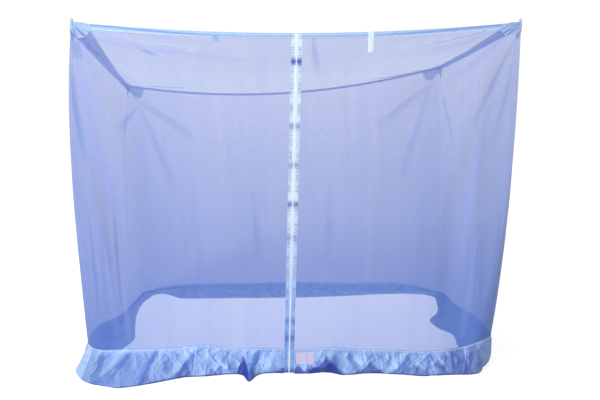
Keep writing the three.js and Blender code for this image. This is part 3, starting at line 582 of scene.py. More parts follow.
# %% [markdown]
# ## Starting a material
# Every material here reads the same four numbers from the cloth: along, up and extra from one
# attribute, tone from the other. This helper makes the shader, splits those numbers out, and wraps
# the few steps that every finish repeats: placing an effect, mixing two colours, adding a bump.

# %% Material helper
def srgb(r, g, b):
    """A colour given as 0 to 255 on a screen, in the linear values that a shader wants."""

    def linear(c):
        c = c / 255
        return c / 12.92 if c <= 0.04045 else ((c + 0.055) / 1.055) ** 2.4

    return (linear(r), linear(g), linear(b), 1.0)


class Finish:
    """A material under construction: its tree, its shader and where each point is on the cloth."""

    def __init__(self, name, roughness, sheen=0.0):
        self.material = bpy.data.materials.new(name)
        self.material.use_nodes = True
        self.tree = self.material.node_tree
        self.shader = self.tree.nodes["Principled BSDF"]
        self.shader.inputs["Roughness"].default_value = roughness
        self.shader.inputs["Sheen Weight"].default_value = sheen
        self.shader.inputs["Sheen Roughness"].default_value = 0.4
        place = self.tree.nodes.new("ShaderNodeAttribute")
        place.attribute_name = "cloth"
        split = self.tree.nodes.new("ShaderNodeSeparateXYZ")
        self.tree.links.new(place.outputs["Vector"], split.inputs[0])
        self.along, self.up, self.extra = split.outputs
        tone = self.tree.nodes.new("ShaderNodeAttribute")
        tone.attribute_name = "tone"
        self.tone = tone.outputs["Fac"]
        self.room = self.tree.nodes.new("ShaderNodeTexCoord").outputs["Object"]

    def effect(self, group, output=None, **values):
        node = self.tree.nodes.new("ShaderNodeGroup")
        node.node_tree = bpy.data.node_groups[group]
        for title, value in {"Along": self.along, "Up": self.up, **values}.items():
            if isinstance(value, (int, float)):
                node.inputs[title].default_value = value
            else:
                self.tree.links.new(value, node.inputs[title])
        return node.outputs[output or 0]

    def math(self, operation, a, b=None, c=None):
        return math_node(self.tree, operation, a, b, c)

    def clamp(self, value, low=0.0, high=1.0):
        return self.math("MINIMUM", self.math("MAXIMUM", value, low), high)

    def mix(self, a, b, amount):
        node = self.tree.nodes.new("ShaderNodeMix")
        node.data_type = "RGBA"
        for title, value in (("Factor", amount), ("A", a), ("B", b)):
            target = socket(node.inputs, title)
            if isinstance(value, (tuple, float, int)):
                target.default_value = value
            else:
                self.tree.links.new(value, target)
        return socket(node.outputs, "Result")

    def feed(self, title, value):
        self.tree.links.new(value, self.shader.inputs[title])

    def bump(self, height, distance, strength=1.0):
        node = self.tree.nodes.new("ShaderNodeBump")
        node.inputs["Distance"].default_value = distance
        node.inputs["Strength"].default_value = strength
        self.tree.links.new(height, node.inputs["Height"])
        self.feed("Normal", node.outputs[0])

    def on(self, piece, slot_name):
        piece.data.materials.append(self.material)
        return piece


# %% [markdown]
# ## Netting
# Net is see-through because most of it is holes, and the holes are far smaller than a pixel. So the
# thread's share of the area becomes the shader's Alpha. Where a fold gathers the net there is more
# thread, so Alpha rises there; a fine fold's ridge is also painted paler, a painted highlight, and its
# trough a deeper blue, painted shade. Towards the foot and the side's ends Alpha rises and the blue is
# deeper, and the front's far lower corner is partly painted shade. This holds from every side, unlike
# a trick that depends on the view. The roof is lit from above through its own mesh, which a thin sheet
# doesn't show by itself, so it gets paler colours than the walls and a faint even glow: both are
# painted light.

# %% The wall net and the roof net
THREAD_SHOWS, STREAK_SHOWS = 0.10, 0.14  # how far the knit and the streaks change the cover
ALPHA_RANGE = (0.05, 0.95)
ROOF_GLOW, ROOF_GLOW_STRENGTH = (0.55, 0.84, 1.0, 1.0), 0.12


def make_netting(name, deep, middle, pale, cover, gather):
    """Net: cover is the thread's share of the area, gather what a fold adds to it."""
    net = Finish(name, roughness=0.8, sheen=0.2)
    thread = net.effect("knit_mesh", Pitch=2.0)
    shade = net.effect("warp_streaks", Width=70, Length=1500)
    patchy = noise_node(net.tree, net.room, 1.7, 2.0)
    streaky = net.math("SUBTRACT", shade, 0.5)
    uneven = net.math("MULTIPLY_ADD", streaky, 0.5, net.math("MULTIPLY", patchy, 0.6))
    colour = net.mix(middle, pale, net.clamp(net.math("SUBTRACT", uneven, net.tone)))
    # Painted highlight: a fine fold's ridge is mixed towards the pale colour.
    colour = net.mix(colour, pale, net.clamp(net.extra))
    # Denser and deeper blue towards the foot and the ends, with painted shade in the front's far lower
    # corner.
    dense_and_shaded = net.clamp(net.math("MULTIPLY_ADD", net.tone, 1.6, -0.3))
    # Painted shade: a fine fold's trough is added to the mix towards the deep colour.
    trough_shade_and_density = net.math("MULTIPLY_ADD", net.extra, -1.0, dense_and_shaded)
    colour = net.mix(colour, deep, net.clamp(trough_shade_and_density))
    net.feed("Base Color", colour)
    alpha = net.math("MULTIPLY_ADD", net.math("SUBTRACT", thread, 0.5), THREAD_SHOWS, cover)
    alpha = net.math("MULTIPLY_ADD", streaky, STREAK_SHOWS, alpha)
    alpha = net.math("ADD", net.tone, alpha)
    alpha = net.math("MULTIPLY_ADD", net.math("ABSOLUTE", net.extra), gather, alpha)
    net.feed("Alpha", net.clamp(alpha, *ALPHA_RANGE))
    net.bump(thread, 0.0004, 0.3)
    return net


wall_net = make_netting("wall_net", srgb(94, 130, 214), srgb(104, 136, 216), srgb(132, 150, 228), 0.32, 0.18)
# The roof net is a lit copy of the wall net: its paler colours and its glow are painted light from above.
roof_net = make_netting("roof_net", srgb(150, 164, 236), srgb(108, 196, 255), srgb(196, 190, 252), 0.27, 0.14)
roof_net.shader.inputs["Emission Color"].default_value = ROOF_GLOW
roof_net.shader.inputs["Emission Strength"].default_value = ROOF_GLOW_STRENGTH
print("netting ready")

# %% [markdown]
# ## Satin
# Satin floats its threads on one side, so it shines in broad soft patches and every crease shows as
# a bright line beside a dark one. The broad patches are painted sheen: a soft noise mixes a shaded and
# a lit blue. The body of the crumples is in the mesh; the finest are bump. A facet's tone is painted
# light and shade from its own tilt on the cloth, which makes it a little lighter or darker, and the
# tucked parts are painted shadow in a deeper blue. The back and left skirts are seen from inside,
# through the net, and get a lit copy of the same satin, whose paler colours are painted light. Bands
# and patches are thinner, so they let some light through.

# %% The skirt's satin and the edge satin
SKIRT_STITCH_UP = 243  # the skirt's seam stitches, millimetres from its inner edge
BAND_STITCH_UP = 4  # on the bands and the patches they run near the lower edge
STITCH_BLUE = srgb(220, 233, 255)
# The deeper blue of the tucks' painted shadow.
TUCK_SHADOW_BLUE = srgb(30, 54, 160)
BAND_ALPHA, PATCH_ALPHA = 0.76, 0.56


def make_satin(name, deep, shaded, lit, crease_size, crease_depth, stitch_up):
    satin = Finish(name, roughness=0.46, sheen=0.06)
    line = satin.effect("small_creases", "Height", Size=crease_size)
    soft = satin.effect("small_creases", "Soft", Size=crease_size)
    thread = satin.effect("plain_weave", Pitch=0.9)
    seam = satin.effect("stitch_row", Row=stitch_up, Pitch=6, Width=2.2)
    satin.feed("Roughness", satin.math("MULTIPLY_ADD", soft, 0.2, 0.36))
    # Painted sheen and facet light: soft noise and each facet's tone mix the shaded and the lit colour.
    light = satin.math("MULTIPLY_ADD", satin.math("SUBTRACT", soft, 0.5), 0.8, 0.5)
    colour = satin.mix(shaded, lit, satin.clamp(satin.math("MULTIPLY_ADD", satin.tone, 0.5, light)))
    # Painted shadow and shade from extra: the skirt's tucks, and the folds and creases of bands and patches.
    colour = satin.mix(colour, deep, satin.clamp(satin.extra))
    colour = satin.mix(colour, STITCH_BLUE, satin.math("MULTIPLY", seam, 0.85))
    satin.feed("Base Color", colour)
    height = satin.math("MULTIPLY_ADD", thread, 0.03, satin.math("MULTIPLY_ADD", seam, 0.05, line))
    satin.bump(height, crease_depth)
    return satin


skirt_satin = make_satin(
    "satin_skirt", TUCK_SHADOW_BLUE, srgb(106, 142, 218), srgb(172, 201, 246), 40, 0.006, SKIRT_STITCH_UP
)
skirt_satin.shader.inputs["Metallic"].default_value = 0.12
# A lit copy of the skirt's satin for the back and left skirts: its paler colours are painted light.
lit_skirt_satin = make_satin(
    "satin_skirt_inner_lit", TUCK_SHADOW_BLUE, srgb(134, 174, 240), srgb(206, 230, 255), 40, 0.006, SKIRT_STITCH_UP
)
band_satin = make_satin(
    "satin_band", srgb(78, 132, 214), srgb(134, 182, 240), srgb(192, 224, 252), 24, 0.002, BAND_STITCH_UP
)
band_satin.shader.inputs["Alpha"].default_value = BAND_ALPHA
patch_satin = make_satin(
    "satin_patch", srgb(70, 104, 196), srgb(160, 198, 250), srgb(206, 230, 255), 18, 0.002, BAND_STITCH_UP
)
patch_satin.shader.inputs["Alpha"].default_value = PATCH_ALPHA
print("satin ready")

# %% [markdown]
# ## Zip, tapes and ties
# The zip tape is pale at the top and bluer towards the foot. Its machine stitching draws it up into
# small puckers that show as blue rungs down both edges, and where it is pinched it is painted dark:
# painted shade in the pinch. The coil is nylon, so it is the only piece here that isn't cloth. The
# label is a bare scrap of woven tape, and the tie cord is twisted.

# %% The remaining finishes
PUCKER = 9.5  # millimetres from one pucker of the zip's tape to the next


def make_zip_tape():
    tape = Finish("zip_tape", roughness=0.55, sheen=0.1)
    turns = tape.math("MULTIPLY", tape.up, 2 * math.pi / PUCKER)
    wander = noise_node(tape.tree, combine(tape.tree, tape.along, tape.up), 0.12, 1.0)
    rung = tape.math("SINE", tape.math("MULTIPLY_ADD", wander, 6.0, turns))
    strong = tape.clamp(tape.math("MULTIPLY_ADD", rung, 1.4, -0.1))
    near_edge = tape.clamp(tape.math("MULTIPLY_ADD", tape.math("ABSOLUTE", tape.along), 0.25, -1.9))
    patchy = noise_node(tape.tree, combine(tape.tree, 0.0, tape.up), 0.02, 1.0)
    often = tape.clamp(tape.math("MULTIPLY_ADD", patchy, 5.0, -1.7), 0.15)
    rungs = tape.math("MULTIPLY", tape.math("MULTIPLY", near_edge, strong), often)
    low = tape.clamp(tape.math("MULTIPLY_ADD", tape.up, -0.0016, 1.25))
    on_skirt = tape.clamp(tape.math("MULTIPLY_ADD", tape.up, -0.06, 6.4))
    colour = tape.mix(srgb(222, 238, 254), srgb(140, 176, 238), low)
    colour = tape.mix(colour, srgb(146, 182, 238), tape.math("MULTIPLY", on_skirt, 0.8))
    colour = tape.mix(colour, srgb(84, 122, 206), rungs)
    # Painted shade where the tape is pinched.
    colour = tape.mix(colour, srgb(50, 80, 180), tape.clamp(tape.extra))
    tape.feed("Base Color", colour)
    tape.bump(tape.math("MULTIPLY_ADD", rungs, -1.5, tape.effect("plain_weave", Pitch=0.7)), 0.0005, 0.8)
    return tape


zip_finish = make_zip_tape()
coil_finish = Finish("zip_coil", roughness=0.35)
coil_finish.shader.inputs["Coat Weight"].default_value = 0.2
coil_speckle = noise_node(coil_finish.tree, coil_finish.room, 400.0, 1.0)
coil_finish.feed("Base Color", coil_finish.mix(srgb(222, 232, 252), srgb(244, 248, 255), coil_speckle))
coil_finish.bump(coil_speckle, 0.0001, 0.5)


def make_tape(name, dark, light, pitch):
    tape = Finish(name, roughness=0.75, sheen=0.1)
    thread = tape.effect("plain_weave", Pitch=pitch)
    shade = tape.effect("warp_streaks", Width=5, Length=30)
    tape.feed("Base Color", tape.mix(dark, light, shade))
    tape.bump(tape.math("MULTIPLY_ADD", shade, 0.3, thread), 0.0003, 0.8)
    return tape


white_tape = make_tape("white_tape", srgb(204, 226, 246), srgb(230, 244, 252), 0.8)
blue_tape = make_tape("blue_tape", srgb(128, 156, 208), srgb(170, 194, 230), 0.8)
label_cloth = make_tape("bare_label", srgb(186, 182, 216), srgb(212, 206, 236), 0.6)
cord_finish = make_tape("tie_cord", srgb(78, 62, 128), srgb(126, 112, 170), 0.5)
print("materials", len(bpy.data.materials))

# %% [markdown]
# ## Fine folds of the net
# Between the main folds the net shows thin pull lines that fan out of each tied corner. They are too
# shallow to matter in the imported solid, but they are what the eye reads as net. Here they get a
# little depth, and the same table also tells the material where thread is gathered, and where to paint
# a highlight on a fold's ridge and shade in its trough.

# %% Tables of the fine folds, in millimetres
FINE_FOLDS = {
    "front": [
        (6, 1465, 32, 1350, 9, 13, -10), (34, 1440, 60, 1350, 7, 9, -9), (54, 1425, 84, 1340, 8, 14, 8),
        (84, 1340, 108, 1250, 12, 18, 5), (20, 1440, 300, 1210, 7, 20, 5), (30, 1460, 460, 1360, 6, 18, 4),
        (14, 1380, 150, 1080, 7, 18, 5),
        (10, 1320, 70, 900, 6, 16, -5), (60, 1250, 190, 640, 12, 30, 5), (340, 1400, 620, 1330, 10, 20, 3),
        (300, 1120, 240, 1040, 8, 16, -5), (120, 640, 150, 80, 10, 22, 4), (190, 460, 200, 60, 8, 18, 4),
        (1960, 1440, 1700, 1250, 7, 20, 5), (1950, 1460, 1540, 1370, 6, 18, 4),
        (1965, 1370, 1830, 1060, 7, 18, -5), (1880, 1180, 1800, 560, 12, 28, 4),
        (1850, 520, 1820, 60, 9, 20, 4), (1070, 1450, 1110, 1290, 8, 16, -6),
        (1090, 760, 1180, 480, 12, 26, 3),
    ],
    "right": [
        (60, 1380, 300, 900, 8, 24, 5), (180, 600, 210, 60, 10, 22, 5), (420, 520, 450, 60, 10, 22, -4),
        (700, 460, 720, 60, 12, 24, 4), (980, 520, 960, 60, 10, 22, 4), (1330, 1330, 1120, 900, 8, 24, 5),
    ],
    "back": [
        (40, 1300, 360, 1020, 8, 24, 5), (60, 1260, 240, 700, 8, 26, 4), (700, 620, 730, 120, 14, 30, 3),
        (1200, 600, 1170, 120, 14, 30, 3), (1880, 1220, 1560, 960, 8, 24, 5),
        (1870, 1180, 1700, 640, 8, 26, 4),
    ],
    "left": [
        (60, 1240, 300, 820, 8, 24, 5), (640, 760, 650, 60, 12, 22, 5), (900, 620, 920, 60, 9, 20, 5),
        (1000, 560, 1010, 60, 9, 18, -4), (1150, 600, 1140, 60, 9, 18, 5), (1340, 1400, 1180, 900, 8, 24, 5),
    ],
    "roof": [
        (215, 330, 330, 520, 7, 9, 8), (225, 400, 280, 500, 7, 9, 7), (230, 370, 340, 420, 16, 20, -9),
        (20, 20, 560, 160, 8, 26, 5), (24, 40, 420, 260, 8, 26, -5), (340, 190, 520, 260, 14, 26, -7),
        (360, 250, 760, 420, 10, 24, 5), (1964, 20, 1420, 170, 8, 26, 5), (1960, 40, 1540, 280, 8, 26, -5),
        (30, 1340, 420, 1180, 8, 26, 5), (1950, 1340, 1560, 1180, 8, 26, 5), (700, 60, 1280, 70, 20, 24, 3),
    ],
}
FINE_DEEPEST = 5.0  # a fine fold of this depth gathers as much thread as the net can show, and gets the full painted highlight on a ridge and the full painted shade in a trough


def finer(side):
    """The fine folds of one side, in the form that net_point and roof_point take them."""
    return lambda along, up: relief(FINE_FOLDS[side], along, up)


def gather_and_fold_light(side, along, up):
    """How far the fine folds gather the thread, and their painted light: 1 on a full ridge, painted paler, -1
    in a full trough, painted deeper blue.
    """
    return np.clip(relief(FINE_FOLDS[side], along, up) / FINE_DEEPEST, -1, 1)


# How much denser and deeper blue the net is made, as an added share of thread: at the foot, at the
# side's two ends with their reach in mm, and in a patch at its far lower corner, which is partly
# overlapping net and partly painted shade.
CORNER_REACH = 170
NET_DENSITY_AND_SHADE = {
    "front": dict(foot=0.29, start=0.08, end=0.10, reach=260, corner=0.14),
    "right": dict(foot=0.40, start=0.05, end=0.05, reach=200, corner=0.0),
    "back": dict(foot=0.34, start=0.10, end=0.10, reach=300, corner=0.0),
    "left": dict(foot=0.40, start=0.05, end=0.05, reach=200, corner=0.0),
}


def net_density_and_shade(side, u, v, length):
    """The net's tone: the share of thread that is added at each point of a wall, which also deepens its blue;
    in the front's far lower corner it is partly painted shade.
    """
    row = NET_DENSITY_AND_SHADE[side]
    start = row["start"] * np.exp(-u * length / row["reach"])
    end = row["end"] * np.exp(-(1 - u) * length / row["reach"])
    corner = row["corner"] * np.exp(-((((1 - u) * length) / CORNER_REACH) ** 2)) * (1 - v) ** 3
    return row["foot"] * (1 - v) + (start + end) + corner


print("fine folds", sum(len(rows) for rows in FINE_FOLDS.values()))

# %% [markdown]
# ## Hang the walls and the roof
# Each wall is its own cut of net, so each is its own piece. It replaces the imported solid of the same
# name.

# %% The five walls
NET_STEP = dict(front=7.0, right=9.0, back=9.0, left=9.0, roof=8.0)  # millimetres between points
FRONT_WIDE = 1950  # the front's length at its seam with the skirt


def steps(length, step):
    """Even shares from 0 to 1, about one step of the length apart."""
    return np.linspace(0, 1, int(round(length / step)) + 1)


def settle(piece, node):
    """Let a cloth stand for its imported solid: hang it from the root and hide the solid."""
    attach(piece, "root")
    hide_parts(node)


def side_length(side, v):
    near, far = (post(end, v) for end in SIDES[side]["ends"])
    return np.linalg.norm(far - near, axis=-1)


def share_along(half, a, v):
    """The share along the whole side of a share a of one piece: only the front is cut in halves."""
    if half is None:
        return a
    if half == "left":
        return a * zip_share(v, -ZIP_HALF)
    return lerp(zip_share(v, ZIP_HALF), 1, a)


WALLS = {
    "net_front_left": dict(side="front", half="left", wide=965, tall=1500),
    "net_front_right": dict(side="front", half="right", wide=950, tall=1490),
    "net_right": dict(side="right", half=None, wide=1380, tall=1420),
    "net_back": dict(side="back", half=None, wide=1925, tall=1310),
    "net_left": dict(side="left", half=None, wide=1400, tall=1400),
}
for node, wall in WALLS.items():
    side = wall["side"]
    a, v = grid_axes(steps(wall["wide"], NET_STEP[side]), steps(wall["tall"], NET_STEP[side]))
    u = share_along(wall["half"], a, v)
    grid = net_point(side, u, v, finer(side))
    along = u * side_length(side, v)
    up = v * (top_height(side, u) - column(SIDES[side]["foot"], "seam", station(side, u)))
    density_and_shade = net_density_and_shade(side, u, v, FRONT_WIDE if wall["half"] else wall["wide"])
    piece = make_cloth(node.replace("net", "wall"), grid, along, up, gather_and_fold_light(side, along, up), density_and_shade)
    wall_net.on(piece, "wall_net")
    settle(piece, node)

# %% The roof
ROOF_CUT = 1400  # the roof's depth before it was hung, in millimetres
LILAC, LILAC_FROM, LILAC_OVER = 0.55, 0.25, 0.5  # the front part is more lilac, fading over its depth
u, v = grid_axes(steps(ROOF_WIDE, NET_STEP["roof"]), steps(ROOF_CUT, NET_STEP["roof"]))
along, up = u * ROOF_WIDE, v * ROOF_DEEP
lilac = LILAC * (1 - smooth((v - LILAC_FROM) / LILAC_OVER))
roof_folds = np.clip(gather_and_fold_light("roof", along, up) + lilac, -1, 1)
roof = make_cloth("roof", roof_point(u, v, finer("roof")), along, up, roof_folds)
roof_net.on(roof, "roof_net")
settle(roof, "net_roof")

# %% [markdown]
# ## Sew on the skirt
# The skirt grid follows the same rule as the solid, then every point moves along its own normal by
# the crumples. On the lying part it may only move up, since the surface is under it. Near the seam
# and at the two ends the crumples fade, so neighbours still meet. The band is taken to be cut to one
# width all round, which is a guess. Then a side with less room for it has cloth to spare, and that
# goes into rolls and deeper crumples.

# %% The five pieces of the skirt
SKIRT_STEP = 5.0
FRONT_STEP = 3.6  # the front is seen from nearest, so it gets a closer grid
PANELS = {
    "skirt_front_left": dict(side="front", half="left", wide=955),
    "skirt_front_right": dict(side="front", half="right", wide=925),
    "skirt_right": dict(side="right", half=None, wide=1380),
    "skirt_back": dict(side="back", half=None, wide=1910),
    "skirt_left": dict(side="left", half=None, wide=1410),
}
SIDE_START = dict(front=0, right=2000, back=3400, left=5400)  # where each side starts on the crumples
CRUMPLES = ((70, 3.6, 11.3), (27, 0.7, 4.7))  # size, depth and seed of two layers of crumples
# Two layers of strewn creases: seed, how many a square decimetre, and the ranges of their lengths,
# widths and depths.
STREWN = ((5, 0.7, (50, 150), (16, 40), (1.6, 3.6)), (6, 2.8, (40, 160), (3.8, 6.5), (1.0, 2.4)))
# SLACK and BUNCH aren't measured.
SLACK = dict(front=0.5, right=1.3, back=2.0, left=2.7)  # how much deeper the lying part is crumpled
BUNCH, BUNCH_BELOW, ROLLS = 6.5, 100, 5  # depth of the rolls, seam height where they start, half waves
ROLL_WANDER, ROLL_SEED, ROLL_SIZE = 1.6, 2.1, 90  # how far the rolls wander, and over what length
END_FADE, SEAM_END, INNER_END = 60, 0.12, 0.04  # mm at the two ends, then shares of the width
FACET_LIGHT_UP, FACET_LIGHT_SHOWS = 0.6, 3.0  # how a facet's slope across counts beside its slope along, and how strongly they paint its light and shade

# %% The tucks along the front's foot
# Each is a triangle of shadow that narrows upwards: middle in X, half its width at the foot, its top
# as a share of the skirt's width, and how deep the shadow is.
TUCKS = [
    (-940, 30, 1.10, 0.4), (-700, 40, 0.64, 0.3), (-530, 44, 0.80, 0.45), (-396, 26, 0.66, 0.6),
    (-247, 44, 0.88, 0.95), (-209, 26, 0.70, 0.7), (-40, 66, 0.70, 0.8), (22, 38, 0.70, 0.8),
    (151, 112, 0.90, 0.95), (365, 80, 0.80, 0.7), (578, 96, 0.76, 0.5), (778, 110, 1.4, 0.55),
    (860, 70, 1.5, 0.45),
]
LYING_SHADOW = 0.9  # the lying part is all in shadow
TUCK_SOFT = 0.35  # share of a tuck over which its edge fades
RAGGED_SEED, RAGGED_SIZE, RAGGED_WIDE, RAGGED_SHARE = 3.3, 34, 9, 0.12


def tucked(x, w):
    """Shadow of the tucks on the front skirt, at X and at a share of its width."""
    shadow = np.where(w < BEND_END, LYING_SHADOW, 0.0)
    ragged = crumple(x, w * SKIRT_WIDTH, RAGGED_SEED, RAGGED_SIZE)
    for middle, half, top, strength in TUCKS:
        rise = (w - BEND_END) / (top - BEND_END)
        inside = 1 - np.abs(x + RAGGED_WIDE * ragged - middle) / half - rise + RAGGED_SHARE * ragged
        shadow = np.maximum(shadow, strength * smooth(inside / TUCK_SOFT) * (w >= BEND_END))
    return shadow


print("tucks", len(TUCKS))


# %% Crumple and hang the skirt
def crumpled(side, grid, u, along, across, w):
    """A skirt grid moved along its normals by its crumples, and each facet's painted light and shade from its
    tilt.
    """
    offset = np.zeros(along.shape)
    for size, depth, seed in CRUMPLES:
        offset += depth * crumple(along + SIDE_START[side], across, seed, size)
    for seed, *creases in STREWN:
        offset += hard_creases(along, across, SIDE_START[side] + seed, *creases)
    seam = column(SIDES[side]["foot"], "seam", station(side, u))
    t = np.clip((w - BEND_END) / (1 - BEND_END), 0, 1)
    wander = ROLL_WANDER * crumple(along, 0 * along, ROLL_SEED, ROLL_SIZE)
    rolls = np.sin(ROLLS * np.pi * t + wander) * np.sin(np.pi * t)
    offset += BUNCH * np.clip(1 - seam / BUNCH_BELOW, 0, 1) * rolls
    ends = np.minimum.reduce([along - along.min(), along.max() - along])
    fade = smooth(ends / END_FADE) * smooth((1 - w) / SEAM_END) * smooth(w / INNER_END)
    offset = np.where(w <= BEND_END, -np.abs(offset) * SLACK[side], offset) * fade
    moved = grid + normals_of(grid) * offset[..., None]
    moved[..., 2] = np.maximum(moved[..., 2], LYING)
    # Each facet's tilt becomes its painted light and shade: lighter one way, darker the other.
    height = offset + relief(CREASES[side], along, across)
    slope_along = np.gradient(height, axis=0) / (along[1, 0] - along[0, 0])
    slope_up = FACET_LIGHT_UP * np.gradient(height, axis=1) / (across[0, 1] - across[0, 0])
    return moved, np.clip((slope_along - slope_up) * FACET_LIGHT_SHOWS, -1, 1)


skirt_grids = {}
for node, panel in PANELS.items():
    side = panel["side"]
    step = FRONT_STEP if side == "front" else SKIRT_STEP
    a, w = grid_axes(steps(panel["wide"], step), steps(SKIRT_WIDTH, step))
    seam_line = np.zeros_like(w)
    u = share_along(panel["half"], a, seam_line)
    along, across = u * side_length(side, seam_line), w * SKIRT_WIDTH
    grid, facet_painted_light = crumpled(side, skirt_point(side, u, w), u, along, across, w)
    skirt_grids[node] = grid
    tuck = tucked(station(side, u), w) if side == "front" else 0.0
    name = node.replace("skirt", "hem_skirt")
    piece = make_cloth(name, grid, along + SIDE_START[side], across, tuck, facet_painted_light)
    finish = lit_skirt_satin if side in ("back", "left") else skirt_satin
    finish.on(piece, "satin_skirt")
    settle(piece, node)

# %% [markdown]
# ## Bind the roof's edge
# A satin band covers the seam between wall and roof. It was sewn on while the net lay flat, so as the
# net hangs it puckers a little. It sits just outside the wall, as the imported band does. At the sides
# and the back it also turns in over the roof, widest where the front corners pull on it. The width
# these three were cut to isn't measured.

# %% The five bands
BAND_RAISE, PATCH_RAISE = 1.55, 3.3  # how far bands and patches stand off the net's middle
BAND_WIDTH = dict(front=26, right=24, back=9, left=39)  # width of the part that lies on the wall
# The part folded in over the roof: its width at the front, and the share of the side where it ends.
OVER_ROOF = dict(right=(50, 0.55), back=(17, None), left=(62, 0.75))
TURNED_LEAST, ROOF_CLEAR = 1.0, 2.4  # the turned-in part's least width, and how high it stands
BAND_STEP, BAND_POINTS = 6, 9
PUCKER_DEPTH, PUCKER_SEED, PUCKER_SIZE, PUCKER_LEAST = 0.7, 7.9, 22, -0.6
TURNED_SHADE, PUCKER_SHADE = 0.12, 0.3
# The fold along the front's band: where it lies above the band's lower edge in the middle, how much
# higher it ends, the shares of the side where it starts to rise and over which it does, its width in
# millimetres and its shade.
FOLD_LOW, FOLD_RISE, FOLD_CALM, FOLD_OVER, FOLD_WIDE, FOLD_SHADE = 5, 16, 0.12, 0.34, 5, 0.85


def raised(grid, distance):
    """A grid moved along its own normals."""
    return grid + normals_of(grid) * np.asarray(distance)[..., None]


def over_roof(side, u, inwards):
    """Points of the roof at a distance in from one of its edges."""
    wide, deep = inwards / ROOF_WIDE, inwards / ROOF_DEEP
    place = {"right": (1 - wide, u), "back": (1 - u, 1 - deep), "left": (wide, 1 - u)}[side]
    grid = roof_point(*place, finer("roof"))
    grid[..., 2] += ROOF_CLEAR
    return grid


def turned_in(side, u):
    """How far the band turns in over the roof at each share along its side, in millimetres."""
    most, ends_at = OVER_ROOF[side]
    if ends_at is None:
        return most * np.ones_like(u)
    share = u if side == "right" else 1 - u
    return most * np.clip(1 - share / ends_at, 0, 1) + TURNED_LEAST


for node, wall in WALLS.items():
    side = wall["side"]
    wide = BAND_WIDTH[side]
    a, across = grid_axes(steps(wall["wide"], BAND_STEP), np.linspace(0, wide, BAND_POINTS))
    v = 1 - (wide - across) / top_height(side, 0.5)
    u = share_along(wall["half"], a, v)
    along = u * ROOF_WIDE
    pucker = PUCKER_DEPTH * crumple(along, across, PUCKER_SEED, PUCKER_SIZE)
    grid = raised(net_point(side, u, v), BAND_RAISE + np.maximum(pucker, PUCKER_LEAST))
    # fold carries painted shade: in the puckers' troughs, along the front's fold and on the part turned in.
    fold = np.clip(-pucker * PUCKER_SHADE, 0, 1)
    turned = np.zeros(1)
    if side == "front":
        middle = FOLD_LOW + FOLD_RISE * smooth((np.abs(u - 0.5) - FOLD_CALM) / FOLD_OVER)
        fold = np.maximum(fold, FOLD_SHADE * np.exp(-(((across - middle) / FOLD_WIDE) ** 2)))
    if side in OVER_ROOF:
        turned = turned_in(side, u[:, :1])
        inwards = turned * np.linspace(0.1, 1, BAND_POINTS)
        grid = np.concatenate([grid, over_roof(side, u[:, :1], inwards)], axis=1)
        along = np.concatenate([along, np.broadcast_to(along[:, -1:], inwards.shape)], axis=1)
        across = np.concatenate([across, wide + inwards], axis=1)
        fold = np.concatenate([fold, np.full(inwards.shape, TURNED_SHADE)], axis=1)
    piece = make_cloth(node.replace("net", "edge_band"), grid, along, across, fold)
    band_satin.on(piece, "satin_band")
    settle(piece, node.replace("net", "band"))

# %% [markdown]
# ## The zip
# The two tapes run from the top edge, down the net and over the skirt. The coil between them is a
# row of small teeth on a half-round strip, which catches light as a broken white line.

# %% The two tapes
ZIP_FOOT_W = 0.5  # share of the skirt's width where the zip ends
ZIP_ON_SKIRT, ZIP_ON_NET = 125, 1455  # its length on the skirt and on the net
# Height and strength of the places where the tape is pinched, and how far each reaches. The strength
# also sets how dark the painted shade in the pinch is.
PINCHES = ((1436, 0.95), (1150, 0.5), (975, 0.6), (795, 0.7), (640, 0.35), (245, 0.4), (160, 0.6), (14, 0.8))
PINCH_REACH, PINCH_DEPTH = 16, 0.8
TAPE_INNER, TAPE_OUTER = COIL_HALF + 0.35, ZIP_HALF - 0.35
TAPE_POINTS, TAPE_STEP, TAPE_FLAT = 11, 2.4, (0.0211, 1.6)
RUFFLE_DEPTH, RUFFLE_FROM, RUFFLE_OVER = 0.7, 10, 8  # the puckers start this far from the middle


def zip_strip(shifts, step):
    """Points of a strip of the front at a few distances from the zip's middle."""
    rising, hanging = np.linspace(ZIP_FOOT_W, 1, int(ZIP_ON_SKIRT / step)), steps(ZIP_ON_NET, step)[1:]
    zero = np.zeros(len(rising))
    columns = []
    for shift in shifts:
        foot = skirt_point("front", zip_share(zero, shift), rising)
        columns.append(np.concatenate([foot, net_point("front", zip_share(hanging, shift), hanging)]))
    return np.stack(columns)


def pinch_at(z):
    return sum(strength * np.exp(-(((z - height) / PINCH_REACH) ** 2)) for height, strength in PINCHES)


for name, low, high in (("left", -TAPE_OUTER, -TAPE_INNER), ("right", TAPE_INNER, TAPE_OUTER)):
    shifts = np.linspace(low, high, TAPE_POINTS)
    grid = zip_strip(shifts, TAPE_STEP)
    across, z = np.broadcast_arrays(shifts[:, None], grid[..., 2])
    edge = smooth((np.abs(across) - RUFFLE_FROM) / RUFFLE_OVER)
    ruffle = RUFFLE_DEPTH * edge * np.sin(2 * np.pi * z / PUCKER)
    grid = raised(grid, ruffle - PINCH_DEPTH * pinch_at(z))
    piece = make_cloth(f"tape_{name}", grid, across, z, pinch_at(z))
    zip_finish.on(piece, "zip_tape")
    settle(piece, f"zip_tape_{name}")

